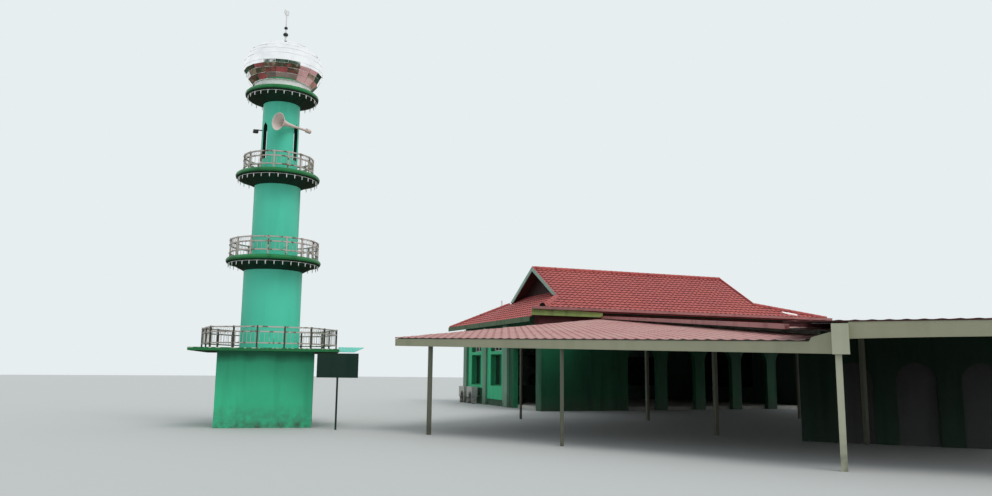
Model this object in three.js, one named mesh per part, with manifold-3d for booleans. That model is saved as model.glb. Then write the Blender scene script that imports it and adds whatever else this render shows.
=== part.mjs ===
// A small town mosque: a free-standing minaret with a mirrored dome, a tiled prayer hall with
// gablets at both ends, and three low sheet-metal canopies in front of the hall.
// Millimetres, +X along the hall's ridge, -Y towards the street, +Z up.
// The origin is the centre of the hall's plan at ground level.
import * as THREE from 'three';
import { mergeVertices } from 'three/addons/utils/BufferGeometryUtils.js';
import Module from 'manifold-3d';

const wasm = await Module();
wasm.setup();

// Joints between pieces
const GAP = 0.3;

// The minaret
const TOWER_X = -20185;
const TOWER_Y = -11080;
const TOWER_TURN = -9;
const FACING = 264.5;
const ROUND = 32;
const BASE_HALF = 1445;
const BASE_WALL = 200;
const BASE_TOP = 2310;
const SLAB_HALF = 2200;
const SLAB_TOP = 2410;
const HATCH_R = 450;
const DOOR_WIDTH = 800;
const DOOR_HEIGHT = 2000;
const LOWER_R = 940;
const MIDDLE_R = 755;
const UPPER_R = 610;
const SHAFT_WALL = 120;
const LOWER_RIM_R = 1527;
const LOWER_RIM_Z = 5262;
const UPPER_RIM_R = 1376;
const UPPER_RIM_Z = 8117;
const CORNICE_R = 1220;
const CORNICE_Z = 10958;
const RIM_HALF = 100;
const CONE_DROP = 220;
const DRUM_R = 950;
const DRUM_TOP = 11290;
const DOME_R = 1326;
const DOME_FOOT_R = 1000;
const DOME_WAIST_Z = 11850;
const DOME_TOP = 12850;
const DOME_SHOULDER = 0.85;
const DOME_SKIN = 30;
const DOME_EYE = 5;
const SLIT_HALF = 110;
const SLIT_BOTTOM = 8700;
const SLIT_SPRING = 9750;
const SLIT_APEX = 10010;
const SLIT_ANGLE = 56;
const RAIL = 40;
const POST = 45;
const RAIL_POSTS = 16;
const BASE_RAIL_R = 2150;
const BASE_RAIL_TOP = 3070;
const LOWER_RAIL_R = 1420;
const LOWER_RAIL_TOP = 5950;
const UPPER_RAIL_R = 1134;
const UPPER_RAIL_TOP = 8810;
const FINIAL_BALLS = [[390, 90, 70], [630, 65, 52]];
const FINIAL_ROD_R = 18;
const FINIAL_ROD_TOP = 13935;
const CRESCENT_R = 130;
const CRESCENT_Z = 14058;
const CRESCENT_TURN = 49;
const STAR_REACH = 50;
const HORN_MOUTH = [-199, -1018, 9810];
const HORN_BACK = [955, -196, 9820];
const HORN_MOUTH_R = 300;
const HORN_GRIP = 0.5;
const LAMP_ANGLE = 185;
const LAMP_Z = 9700;
const AWNING_NEAR = [-2200, -700];
const AWNING_FAR = [[2650, -2200], [3030, -700]];
const AWNING_Z = 2325;
const AWNING_RISE = 0.117;
const AWNING_SHEET = 15;
const SIGN_AT = [-18420, -13770];
const SIGN_TURN = -21;
const SIGN_HALF = 625;
const SIGN_FOOT = 1540;
const SIGN_TOP = 2270;
const SIGN_THICK = 30;
const SIGN_POLE = 50;

// The prayer hall
const HALL_X = 7750;
const HALL_Y = 5200;
const WALL = 260;
const FLOOR_TOP = 150;
const ROOF = 100;
const RIDGE_Y = -1700;
const RIDGE_Z = 6940;
const FRONT_RISE = 0.57786;
const GABLET_LEFT_X = -6650;
const GABLET_RIGHT_X = 4650;
const GABLET_FRONT_Y = -4500;
const GABLET_BACK_Y = 1100;
const GABLET_FOOT_Z = 5320;
const GABLET_RECESS = 550;
const GABLET_WALL = 100;
const BACK_RISE = 0.2333;
const LEFT_RISE = 0.5895;
const RIGHT_RISE = 0.1744;
const EAVE_FRONT_Y = -5680;
const EAVE_BACK_Y = 5900;
const EAVE_END_X = 8550;
const LEFT_HIP_X = -7800;
const RIGHT_HIP_BACK_Y = 4015;
const BARGE_DEPTH = 220;
const BARGE_THICK = 40;
const RIDGE_CAP_HALF = 120;
const FASCIA_THICK = 30;
const FASCIA_TOP = 4620;
const FASCIA_FOOT = 4450;
const FASCIA_DEEP_FOOT = 4250;
const FASCIA_STEP_X = -4880;
const GUTTER_LEFT_X = -8450;
const GUTTER_TOP = 4640;
const GUTTER_WIDTH = 130;
const GUTTER_SKIN = 12;
const END_FASCIA_FOOT = 3960;
const END_FASCIA_TOP = 4190;
const VENT_AT = [-6850, 1950];
const VENT_R = 50;
const VENT_HEIGHT = 380;
const PILASTER_TOP = 4000;
const UNIT_SIZE = [320, 850, 560];
const UNIT_FOOT = 330;
const UNITS_Y = [3950, 2650];

const ARCH_WIDTH = 1600;
const ARCH_PITCH = 2150;
const ARCH_FIRST_X = -2490;
const ARCH_COUNT = 5;
const ARCH_SPRING = 2250;
const WINDOW_SPANS = [[2550, 4030], [-450, 1080]];
const WINDOW_SILL = 1000;
const WINDOW_HEAD = 2600;
const TOPLIGHT_SILL = 2760;
const TOPLIGHT_HEAD = 3300;
const SURROUNDS = [[2110, 4540, 850], [-740, 1560, 320]];
const SURROUND_TOP = 3420;
const SURROUND_THICK = 40;
const PILASTERS = [[4700, 5200], [1610, 2070], [-1380, -780]];
const PILASTER_THICK = 120;
const ENTRANCE = [-4590, -1900];
const ENTRANCE_HEAD = 2850;
const BACK_WINDOWS_X = [-4500, 0, 4500];
const BACK_WINDOW_HALF = 650;
const GLASS = 8;

// The canopies
const SHEET = 40;
const POST_SIDE = 110;
const BEAM_DEPTH = 140;
const BEAM_WIDTH = 80;

// Materials, one for each finish
const finish = (color, roughness, metalness = 0) =>
  new THREE.MeshStandardMaterial({ color, roughness, metalness });
const mintPaint = finish(0x52c49b, 0.6);
const greenPaint = finish(0x32a06e, 0.6);
const darkGreenPaint = finish(0x0a6e3c, 0.5);
const deepGreenPaint = finish(0x0c4a30, 0.7);
const whitePaint = finish(0xe6e4da, 0.6);
const mirrorSteel = finish(0xc8ccd2, 0.12, 1);
const turquoiseSheet = finish(0x2fb5a5, 0.5);
const roofTile = finish(0xc85555, 0.75);
const canopySheet = finish(0xc88282, 0.6);
const maroonBoard = finish(0x4a1f22, 0.8);
const paleBoard = finish(0x96b4a5, 0.7);
const limeBoard = finish(0x8ca05a, 0.7);
const pinkGutter = finish(0xd98f8f, 0.5);
const beigePaint = finish(0x9b9b82, 0.7);
const concrete = finish(0xb4b4ac, 0.9);
const darkGlass = finish(0x16302a, 0.1);
const hornPaint = finish(0xe1cdc3, 0.5);
const greyMetal = finish(0x9a9c98, 0.6, 0.3);

const toRadians = THREE.MathUtils.degToRad;

function piece(name, geometry, material) {
  const mesh = new THREE.Mesh(geometry, material);
  mesh.name = name;
  return mesh;
}

// A closed geometry as a solid that can be joined and cut
function solid(geometry) {
  const bare = geometry.clone();
  bare.deleteAttribute('normal');
  bare.deleteAttribute('uv');
  const merged = mergeVertices(bare, 0.01);
  const mesh = new wasm.Mesh({
    numProp: 3,
    vertProperties: Float32Array.from(merged.attributes.position.array),
    triVerts: Uint32Array.from(merged.index.array),
  });
  return new wasm.Manifold(mesh);
}

function geometryOf(body) {
  const mesh = body.getMesh();
  const geometry = new THREE.BufferGeometry();
  geometry.setAttribute('position', new THREE.BufferAttribute(mesh.vertProperties, 3));
  geometry.setIndex(new THREE.BufferAttribute(mesh.triVerts, 1));
  geometry.computeVertexNormals();
  return geometry;
}

const joined = (parts) => geometryOf(parts.map(solid).reduce((sum, part) => sum.add(part)));
const cut = (whole, tools) =>
  geometryOf(tools.map(solid).reduce((rest, tool) => rest.subtract(tool), solid(whole)));

function box(x0, x1, y0, y1, z0, z1) {
  const geometry = new THREE.BoxGeometry(x1 - x0, y1 - y0, z1 - z0);
  return geometry.translate((x0 + x1) / 2, (y0 + y1) / 2, (z0 + z1) / 2);
}

function outlineShape(points) {
  return new THREE.Shape(points.map(([a, b]) => new THREE.Vector2(a, b)));
}

// An outline in plan, raised from z0 to z1
function upward(shape, z0, z1) {
  const geometry = new THREE.ExtrudeGeometry(shape, { depth: z1 - z0, bevelEnabled: false, curveSegments: 10 });
  return geometry.translate(0, 0, z0);
}

// An outline in X and Z, thick from y0 to y1
function acrossY(shape, y0, y1) {
  const geometry = new THREE.ExtrudeGeometry(shape, { depth: y1 - y0, bevelEnabled: false, curveSegments: 10 });
  return geometry.rotateX(Math.PI / 2).translate(0, y1, 0);
}

// An outline in Y and Z, thick from x0 to x1
function acrossX(shape, x0, x1) {
  const geometry = new THREE.ExtrudeGeometry(shape, { depth: x1 - x0, bevelEnabled: false, curveSegments: 10 });
  const turn = new THREE.Matrix4().set(0, 0, 1, 0, 1, 0, 0, 0, 0, 1, 0, 0, 0, 0, 0, 1);
  return geometry.applyMatrix4(turn).translate(x0, 0, 0);
}

// A closed loop of radius and height points, turned once round the upright axis
function turned(loop, segments = ROUND) {
  const points = [...loop, loop[0]].map(([r, z]) => new THREE.Vector2(r, z));
  return new THREE.LatheGeometry(points, segments).rotateX(Math.PI / 2);
}

const ring = (inner, outer, z0, z1, segments = ROUND) =>
  turned([[inner, z0], [outer, z0], [outer, z1], [inner, z1]], segments);

// A flat slope: its height at one plan point, and its rise along X and Y
const slope = (x0, y0, z0, riseX, riseY) => (x, y) => z0 + riseX * (x - x0) + riseY * (y - y0);

// A plate of even upright thickness under a slope
function slopePlate(outline, top, thickness) {
  const geometry = new THREE.ExtrudeGeometry(outlineShape(outline), { depth: 1, bevelEnabled: false });
  const position = geometry.attributes.position;
  for (let i = 0; i < position.count; i += 1) {
    const height = top(position.getX(i), position.getY(i));
    position.setZ(i, height - thickness * (1 - position.getZ(i)));
  }
  geometry.computeVertexNormals();
  return geometry;
}

// A counter-clockwise outline drawn in by a joint's width on every side
function inset(outline, gap = GAP) {
  const points = outline.map(([x, y]) => new THREE.Vector2(x, y));
  return points.map((point, i) => {
    const before = point.clone().sub(points.at(i - 1)).normalize();
    const after = points[(i + 1) % points.length].clone().sub(point).normalize();
    const normalBefore = new THREE.Vector2(-before.y, before.x);
    const normalAfter = new THREE.Vector2(-after.y, after.x);
    const reach = gap / (1 + normalBefore.dot(normalAfter));
    const moved = normalBefore.add(normalAfter).multiplyScalar(reach).add(point);
    return [moved.x, moved.y];
  });
}

// A straight strip in plan between two points, from one side distance to another
function strip([ax, ay], [bx, by], left, right) {
  const along = new THREE.Vector2(bx - ax, by - ay).normalize();
  const side = [along.y, -along.x];
  const at = (x, y, distance) => [x + side[0] * distance, y + side[1] * distance];
  return [at(ax, ay, left), at(ax, ay, right), at(bx, by, right), at(bx, by, left)];
}

// A beam under a roof slope, from one plan point to another, moved aside if asked
function beam(from, to, top, aside = 0) {
  const half = BEAM_WIDTH / 2;
  return slopePlate(strip(from, to, aside - half, aside + half), top, BEAM_DEPTH);
}

// A beam that ends against others, a little slimmer than they are
function crossBeam(from, to, top) {
  const half = BEAM_WIDTH / 2;
  return slopePlate(strip(from, to, -half, half), (x, y) => top(x, y) - 4, BEAM_DEPTH - 10);
}

function postUnder([x, y], top, side = POST_SIDE) {
  const inside = top(x, y) - BEAM_DEPTH / 2;
  return box(x - side / 2, x + side / 2, y - side / 2, y + side / 2, 0, inside);
}

// Minaret

function minaretBaseWalls() {
  const outer = box(-BASE_HALF, BASE_HALF, -BASE_HALF, BASE_HALF, 0, BASE_TOP);
  const inner = BASE_HALF - BASE_WALL;
  const room = box(-inner, inner, -inner, inner, -100, BASE_TOP + 100);
  const door = box(-DOOR_WIDTH / 2, DOOR_WIDTH / 2, 0, 2 * BASE_HALF, -100, DOOR_HEIGHT);
  return piece('minaret_base_walls', cut(outer, [room, door]), greenPaint);
}

function minaretBaseSlab() {
  const shape = outlineShape([
    [-SLAB_HALF, -SLAB_HALF], [SLAB_HALF, -SLAB_HALF], [SLAB_HALF, SLAB_HALF], [-SLAB_HALF, SLAB_HALF]]);
  const hatch = new THREE.Path();
  hatch.absarc(0, 0, HATCH_R, 0, 2 * Math.PI, true);
  shape.holes.push(hatch);
  return piece('minaret_base_slab', upward(shape, BASE_TOP, SLAB_TOP), darkGreenPaint);
}

function shaft(name, radius, z0, z1) {
  return piece(name, ring(radius - SHAFT_WALL, radius, z0 + GAP, z1 - GAP), mintPaint);
}

// A gallery floor with a rounded rim and a cone below it, back to the shaft
function gallery(name, rimRadius, rimZ, shaftBelow, inner) {
  const loop = [[inner, rimZ - RIM_HALF - CONE_DROP]];
  loop.push([shaftBelow, rimZ - RIM_HALF - CONE_DROP]);
  loop.push([rimRadius - 1.6 * RIM_HALF, rimZ - RIM_HALF]);
  const steps = 6;
  for (let i = 0; i <= steps; i += 1) {
    const angle = toRadians(-90 + (180 * i) / steps);
    loop.push([rimRadius - RIM_HALF + RIM_HALF * Math.cos(angle), rimZ + RIM_HALF * Math.sin(angle)]);
  }
  loop.push([inner, rimZ + RIM_HALF]);
  return piece(name, turned(loop), darkGreenPaint);
}

// A tall slot with a pointed ogee head, cut through the shaft at one angle
function slitCutter(degrees) {
  const shape = new THREE.Shape();
  shape.moveTo(-SLIT_HALF, SLIT_BOTTOM);
  shape.lineTo(SLIT_HALF, SLIT_BOTTOM);
  shape.lineTo(SLIT_HALF, SLIT_SPRING);
  const middle = SLIT_SPRING + 0.45 * (SLIT_APEX - SLIT_SPRING);
  shape.quadraticCurveTo(SLIT_HALF, middle, 0.4 * SLIT_HALF, middle + 30);
  shape.quadraticCurveTo(0, middle + 60, 0, SLIT_APEX);
  shape.quadraticCurveTo(0, middle + 60, -0.4 * SLIT_HALF, middle + 30);
  shape.quadraticCurveTo(-SLIT_HALF, middle, -SLIT_HALF, SLIT_SPRING);
  const slot = new THREE.ExtrudeGeometry(shape, { depth: UPPER_R, bevelEnabled: false, curveSegments: 5 });
  slot.rotateX(Math.PI / 2).translate(0, -UPPER_R / 2, 0);
  return slot.rotateZ(toRadians(degrees + 90));
}

function minaretUpperShaft() {
  const z0 = UPPER_RIM_Z + RIM_HALF + GAP;
  const z1 = CORNICE_Z - RIM_HALF - CONE_DROP - GAP;
  const wall = ring(UPPER_R - SHAFT_WALL, UPPER_R, z0, z1);
  const angles = [-SLIT_ANGLE, SLIT_ANGLE, 180 - SLIT_ANGLE, 180 + SLIT_ANGLE];
  const cutters = angles.map((angle) => slitCutter(FACING + angle));
  return piece('minaret_upper_shaft', cut(wall, cutters), mintPaint);
}

function domeDrum() {
  const foot = CORNICE_Z + RIM_HALF;
  return piece('dome_drum', ring(DRUM_R - 100, DRUM_R, foot + GAP, DRUM_TOP - GAP), whitePaint);
}

// A mirrored onion dome, an open shell that stands on the drum
function minaretDome() {
  const outer = [[DOME_FOOT_R, DRUM_TOP], [DOME_FOOT_R + 150, DRUM_TOP + 170]];
  const tuck = (0.62 * (DOME_WAIST_Z - DRUM_TOP)) / Math.sin(toRadians(35));
  const steps = 13;
  for (let i = 0; i <= steps; i += 1) {
    const angle = toRadians(-35 + (125 * i) / steps);
    const above = angle > 0;
    const power = above ? DOME_SHOULDER : 1;
    const rise = above ? (DOME_TOP - DOME_WAIST_Z) * Math.sin(angle) ** power : tuck * Math.sin(angle);
    outer.push([DOME_R * Math.max(Math.cos(angle), 0) ** power, DOME_WAIST_Z + rise]);
  }
  outer[outer.length - 1][0] = DOME_EYE;
  const inner = outer.slice(1).map(([r, z]) =>
    [Math.max(r - DOME_SKIN, DOME_EYE), z > DOME_WAIST_Z ? z - DOME_SKIN : z]);
  const lip = [
    [DOME_FOOT_R - DOME_SKIN, DRUM_TOP + DOME_SKIN], [DRUM_R - 60, DRUM_TOP + DOME_SKIN],
    [DRUM_R - 60, DRUM_TOP]];
  return piece('minaret_dome', turned([...outer, ...inner.reverse(), ...lip]), mirrorSteel);
}

// Rod and flattened balls in one, with the crescent and star above them
function domeFinial() {
  const rod = FINIAL_ROD_R;
  const loop = [[0, DOME_TOP + GAP], [rod, DOME_TOP + GAP]];
  for (const [rise, r, half] of FINIAL_BALLS) {
    for (const degrees of [-70, -40, 0, 40, 70]) {
      const height = DOME_TOP + rise + half * Math.sin(toRadians(degrees));
      loop.push([Math.max(rod, r * Math.cos(toRadians(degrees))), height]);
    }
  }
  loop.push([rod, FINIAL_ROD_TOP], [0, FINIAL_ROD_TOP]);
  const stem = turned(loop, 16);
  const outer = toRadians(52);
  const inner = 1.12 * outer;
  const up = Math.PI / 2;
  const crescent = new THREE.Shape();
  crescent.absarc(0, CRESCENT_Z, CRESCENT_R, up - outer, up + outer, true);
  crescent.absarc(0, CRESCENT_Z + 41, CRESCENT_R - 30, up + inner, up - inner, false);
  const star = [];
  for (let i = 0; i < 10; i += 1) {
    const angle = up + (i * Math.PI) / 5;
    const reach = (i % 2 ? 0.4 : 1) * STAR_REACH;
    star.push([reach * Math.cos(angle), CRESCENT_Z + 35 + reach * Math.sin(angle)]);
  }
  const pin = box(-8, 8, -8, 8, CRESCENT_Z - CRESCENT_R + 5, CRESCENT_Z + 20);
  const emblem = [crescent, outlineShape(star)].map((shape) => acrossY(shape, -10, 10));
  const turnedEmblem = [...emblem, pin].map((part) => part.rotateZ(toRadians(CRESCENT_TURN)));
  return piece('dome_finial', joined([stem, ...turnedEmblem]), greyMetal);
}

// A guard rail: three level rings and upright posts
function railing(name, radius, floor, top, sides, firstAngle) {
  const rings = [top - RAIL, top - 150 - RAIL, floor + 130].map((z) =>
    ring(radius - RAIL / 2, radius + RAIL / 2, z, z + RAIL, sides).rotateZ(toRadians(firstAngle + 90)));
  const uprights = [];
  for (let i = 0; i < RAIL_POSTS; i += 1) {
    const along = (360 * i) / RAIL_POSTS;
    const turn = toRadians(firstAngle + along);
    const share = (along % (360 / sides)) / (360 / sides);
    const flat = Math.cos(Math.PI / sides) / Math.cos(((share - 0.5) * 2 * Math.PI) / sides);
    const post = box(-POST / 2, POST / 2, -POST / 2, POST / 2, floor + GAP, top + 10);
    uprights.push(post.translate(radius * flat, 0, 0).rotateZ(turn));
  }
  return piece(name, joined([...rings, ...uprights]), mintPaint);
}

// Cuts a bracket's end to the facets of the upper shaft
function againstShaft(bracket) {
  const reach = UPPER_R + GAP;
  const core = turned([[0, LAMP_Z - 700], [reach, LAMP_Z - 700], [reach, LAMP_Z + 800], [0, LAMP_Z + 800]]);
  return cut(bracket, [core]);
}

// A re-entrant horn on a bracket, clamped to the shaft
function hornSpeaker() {
  const mouth = new THREE.Vector3(...HORN_MOUTH);
  const back = new THREE.Vector3(...HORN_BACK);
  const length = mouth.distanceTo(back);
  const loop = [[0, 0], [75, 0], [75, 170], [38, 175], [42, 700], [70, 1000], [130, 1220], [HORN_MOUTH_R, length],
    [HORN_MOUTH_R - 15, length], [118, 1228], [58, 1005], [26, 940], [0, 940]];
  const horn = new THREE.LatheGeometry(loop.map(([r, y]) => new THREE.Vector2(r, y)), 20);
  const direction = mouth.clone().sub(back).normalize();
  const turn = new THREE.Quaternion().setFromUnitVectors(new THREE.Vector3(0, 1, 0), direction);
  horn.applyQuaternion(turn).translate(back.x, back.y, back.z);
  const grip = back.clone().lerp(mouth, HORN_GRIP);
  const reach = Math.hypot(grip.x, grip.y);
  const arm = box(UPPER_R - 30, reach, -25, 25, grip.z - 40, grip.z - 10);
  arm.rotateZ(Math.atan2(grip.y, grip.x));
  return piece('horn_speaker', againstShaft(joined([horn, arm])), hornPaint);
}

function shaftLamp() {
  const arm = box(UPPER_R - 30, UPPER_R + 190, -15, 15, LAMP_Z, LAMP_Z + 30);
  const head = box(UPPER_R + 130, UPPER_R + 290, -80, 80, LAMP_Z - 90, LAMP_Z + 5);
  return piece('shaft_lamp', againstShaft(joined([arm, head]).rotateZ(toRadians(LAMP_ANGLE))), greyMetal);
}

// A corrugated sheet beside the slab's right edge that falls towards the street
function minaretAwning() {
  const near = SLAB_HALF + GAP;
  const [front, back] = AWNING_NEAR;
  const top = slope(near, front, AWNING_Z, 0, AWNING_RISE);
  const outline = [[near, front], ...AWNING_FAR, [near, back]];
  return piece('minaret_awning', slopePlate(outline, top, AWNING_SHEET), turquoiseSheet);
}

function signBoard() {
  const back = SIGN_THICK / 2;
  const board = box(-SIGN_HALF, SIGN_HALF, -back, back, SIGN_FOOT, SIGN_TOP);
  const pole = box(-SIGN_POLE / 2, SIGN_POLE / 2, back - 1, back - 1 + SIGN_POLE, 0, SIGN_TOP - 70);
  const mesh = piece('sign_board', joined([board, pole]), darkGreenPaint);
  mesh.position.set(...SIGN_AT, 0);
  mesh.rotation.z = toRadians(SIGN_TURN);
  return mesh;
}

function minaret() {
  const group = new THREE.Group();
  group.position.set(TOWER_X, TOWER_Y, 0);
  const base = new THREE.Group();
  base.rotation.z = toRadians(TOWER_TURN);
  base.add(minaretBaseWalls(), minaretBaseSlab(), minaretAwning());
  const coneFoot = RIM_HALF + CONE_DROP;
  group.add(
    base,
    shaft('minaret_lower_shaft', LOWER_R, SLAB_TOP, LOWER_RIM_Z - coneFoot),
    gallery('lower_balcony', LOWER_RIM_R, LOWER_RIM_Z, LOWER_R, HATCH_R),
    shaft('minaret_middle_shaft', MIDDLE_R, LOWER_RIM_Z + RIM_HALF, UPPER_RIM_Z - coneFoot),
    gallery('upper_balcony', UPPER_RIM_R, UPPER_RIM_Z, MIDDLE_R, HATCH_R),
    minaretUpperShaft(),
    gallery('minaret_cornice', CORNICE_R, CORNICE_Z, UPPER_R, HATCH_R),
    domeDrum(), minaretDome(), domeFinial(),
    railing('base_railing', BASE_RAIL_R, SLAB_TOP, BASE_RAIL_TOP, 8, FACING - 10),
    railing('lower_railing', LOWER_RAIL_R, LOWER_RIM_Z + RIM_HALF, LOWER_RAIL_TOP, ROUND, FACING - 8),
    railing('upper_railing', UPPER_RAIL_R, UPPER_RIM_Z + RIM_HALF, UPPER_RAIL_TOP, ROUND, FACING - 8),
    hornSpeaker(), shaftLamp(),
  );
  return group;
}

// Roof slopes of the hall, as the height of their top face

const frontSlope = slope(0, RIDGE_Y, RIDGE_Z, 0, FRONT_RISE);
const backUpperSlope = slope(0, RIDGE_Y, RIDGE_Z, 0, -FRONT_RISE);
const backLowerSlope = slope(0, GABLET_BACK_Y, GABLET_FOOT_Z, 0, -BACK_RISE);
const leftSlope = slope(GABLET_LEFT_X, 0, GABLET_FOOT_Z, LEFT_RISE, 0);
const rightSlope = slope(GABLET_RIGHT_X, 0, GABLET_FOOT_Z, -RIGHT_RISE, 0);

// How far from the ridge line the underside of the steep slopes meets a height
const underVerge = (z) => (RIDGE_Z - ROOF - z) / FRONT_RISE - 1;

function hallRoof() {
  const front = [
    [GABLET_LEFT_X, GABLET_FRONT_Y], [LEFT_HIP_X, EAVE_FRONT_Y], [EAVE_END_X, EAVE_FRONT_Y],
    [GABLET_RIGHT_X, GABLET_FRONT_Y], [GABLET_RIGHT_X, RIDGE_Y], [GABLET_LEFT_X, RIDGE_Y]];
  const backUpper = [
    [GABLET_LEFT_X, RIDGE_Y], [GABLET_RIGHT_X, RIDGE_Y], [GABLET_RIGHT_X, GABLET_BACK_Y],
    [GABLET_LEFT_X, GABLET_BACK_Y]];
  const backLower = [
    [GABLET_LEFT_X, GABLET_BACK_Y], [GABLET_RIGHT_X, GABLET_BACK_Y], [EAVE_END_X, RIGHT_HIP_BACK_Y],
    [EAVE_END_X, EAVE_BACK_Y], [-EAVE_END_X, EAVE_BACK_Y]];
  const leftWallX = GABLET_LEFT_X + GABLET_RECESS;
  const leftEnd = [
    [GABLET_LEFT_X, GABLET_FRONT_Y], [GABLET_LEFT_X, RIDGE_Y - underVerge(leftSlope(GABLET_LEFT_X, 0))],
    [leftWallX, RIDGE_Y - underVerge(leftSlope(leftWallX, 0))],
    [leftWallX, RIDGE_Y + underVerge(leftSlope(leftWallX, 0))],
    [GABLET_LEFT_X, RIDGE_Y + underVerge(leftSlope(GABLET_LEFT_X, 0))],
    [GABLET_LEFT_X, GABLET_BACK_Y], [-EAVE_END_X, EAVE_BACK_Y], [-EAVE_END_X, EAVE_FRONT_Y],
    [LEFT_HIP_X, EAVE_FRONT_Y]];
  const rightWallX = GABLET_RIGHT_X - GABLET_RECESS;
  const rightEnd = [
    [GABLET_RIGHT_X, GABLET_FRONT_Y], [EAVE_END_X, EAVE_FRONT_Y], [EAVE_END_X, RIGHT_HIP_BACK_Y],
    [GABLET_RIGHT_X, GABLET_BACK_Y], [GABLET_RIGHT_X, RIDGE_Y + underVerge(rightSlope(GABLET_RIGHT_X, 0))],
    [rightWallX, RIDGE_Y + underVerge(rightSlope(rightWallX, 0))],
    [rightWallX, RIDGE_Y - underVerge(rightSlope(rightWallX, 0))],
    [GABLET_RIGHT_X, RIDGE_Y - underVerge(rightSlope(GABLET_RIGHT_X, 0))]];
  const plate = (name, outline, top) => piece(name, slopePlate(inset(outline), top, ROOF), roofTile);
  return [
    plate('roof_front', front, frontSlope),
    plate('roof_back_upper', backUpper, backUpperSlope),
    plate('roof_back_lower', backLower, backLowerSlope),
    plate('roof_left_end', leftEnd, leftSlope),
    plate('roof_right_end', rightEnd, rightSlope),
  ];
}

function gabletWall(name, x0, x1) {
  const foot = GABLET_FOOT_Z + 80;
  const half = underVerge(foot);
  const outline = outlineShape([
    [RIDGE_Y - half, foot], [RIDGE_Y + half, foot], [RIDGE_Y, RIDGE_Z - ROOF - 1]]);
  return piece(name, acrossX(outline, x0, x1), maroonBoard);
}

function bargeBoards(name, x0, x1) {
  const foot = GABLET_FOOT_Z + 10;
  const top = RIDGE_Z + 30;
  const outer = (top - foot) / FRONT_RISE;
  const inner = (top - BARGE_DEPTH - foot) / FRONT_RISE;
  const outline = outlineShape([
    [RIDGE_Y - outer, foot], [RIDGE_Y - inner, foot], [RIDGE_Y, top - BARGE_DEPTH],
    [RIDGE_Y + inner, foot], [RIDGE_Y + outer, foot], [RIDGE_Y, top]]);
  return piece(name, acrossX(outline, x0, x1), paleBoard);
}

function ridgeCap() {
  const half = RIDGE_CAP_HALF;
  const edge = RIDGE_Z - half * FRONT_RISE + GAP;
  const outline = new THREE.Shape();
  outline.moveTo(RIDGE_Y, RIDGE_Z + GAP);
  outline.lineTo(RIDGE_Y + half, edge);
  outline.absellipse(RIDGE_Y, edge, half, 150, 0, Math.PI, false);
  outline.lineTo(RIDGE_Y - half, edge);
  return piece('ridge_cap', acrossX(outline, GABLET_LEFT_X, GABLET_RIGHT_X), roofTile);
}

// A square channel gutter, open above, along the front eave
function frontGutter() {
  const near = EAVE_FRONT_Y - FASCIA_THICK - 1;
  const far = near - GUTTER_WIDTH;
  const foot = GUTTER_TOP - 120;
  const bed = foot + GUTTER_SKIN;
  const outline = outlineShape([
    [near, GUTTER_TOP], [near - GUTTER_SKIN, GUTTER_TOP], [near - GUTTER_SKIN, bed],
    [far + GUTTER_SKIN, bed], [far + GUTTER_SKIN, GUTTER_TOP], [far, GUTTER_TOP], [far, foot], [near, foot]]);
  return piece('front_gutter', acrossX(outline, GUTTER_LEFT_X, EAVE_END_X), pinkGutter);
}

function frontFascia() {
  const outline = outlineShape([
    [GUTTER_LEFT_X, FASCIA_DEEP_FOOT], [FASCIA_STEP_X, FASCIA_DEEP_FOOT], [FASCIA_STEP_X, FASCIA_FOOT],
    [EAVE_END_X, FASCIA_FOOT], [EAVE_END_X, FASCIA_TOP], [GUTTER_LEFT_X, FASCIA_TOP]]);
  const face = EAVE_FRONT_Y - 0.5;
  return piece('front_fascia', acrossY(outline, face - FASCIA_THICK, face), limeBoard);
}

function endFascia() {
  const face = -EAVE_END_X - GAP;
  const board = box(face - FASCIA_THICK, face, EAVE_FRONT_Y, EAVE_BACK_Y, END_FASCIA_FOOT, END_FASCIA_TOP);
  return piece('left_end_fascia', board, darkGreenPaint);
}

function roofVentPipe() {
  const [x, y] = VENT_AT;
  const foot = backLowerSlope(x, y - VENT_R) + GAP;
  const pipe = ring(VENT_R - 12, VENT_R, foot, foot + VENT_HEIGHT, 16).translate(x, y, 0);
  return piece('roof_vent_pipe', pipe, whitePaint);
}

// Hall walls

const roundedDoor = (centre) => {
  const half = ARCH_WIDTH / 2;
  const shape = new THREE.Shape();
  shape.moveTo(centre - half, -100);
  shape.lineTo(centre + half, -100);
  shape.lineTo(centre + half, ARCH_SPRING);
  shape.absarc(centre, ARCH_SPRING, half, 0, Math.PI, false);
  return shape;
};

// The wall's top runs just below the roof, which dips at both ends
function hallFrontWall() {
  const end = HALL_X - WALL;
  const top = frontSlope(0, -HALL_Y) - ROOF - GAP;
  const leftMeet = GABLET_LEFT_X + (frontSlope(0, -HALL_Y) - GABLET_FOOT_Z) / LEFT_RISE;
  const rightMeet = GABLET_RIGHT_X - (frontSlope(0, -HALL_Y) - GABLET_FOOT_Z) / RIGHT_RISE;
  const outline = outlineShape([
    [-end, 0], [end, 0], [end, rightSlope(end, 0) - ROOF - GAP], [rightMeet, top],
    [leftMeet, top], [-end, leftSlope(-end, 0) - ROOF - GAP]]);
  const doors = [];
  for (let i = 0; i < ARCH_COUNT; i += 1) {
    doors.push(acrossY(roundedDoor(ARCH_FIRST_X + i * ARCH_PITCH), -HALL_Y - 100, -HALL_Y + WALL + 100));
  }
  return piece('hall_front_wall', cut(acrossY(outline, -HALL_Y, -HALL_Y + WALL), doors), deepGreenPaint);
}

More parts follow.
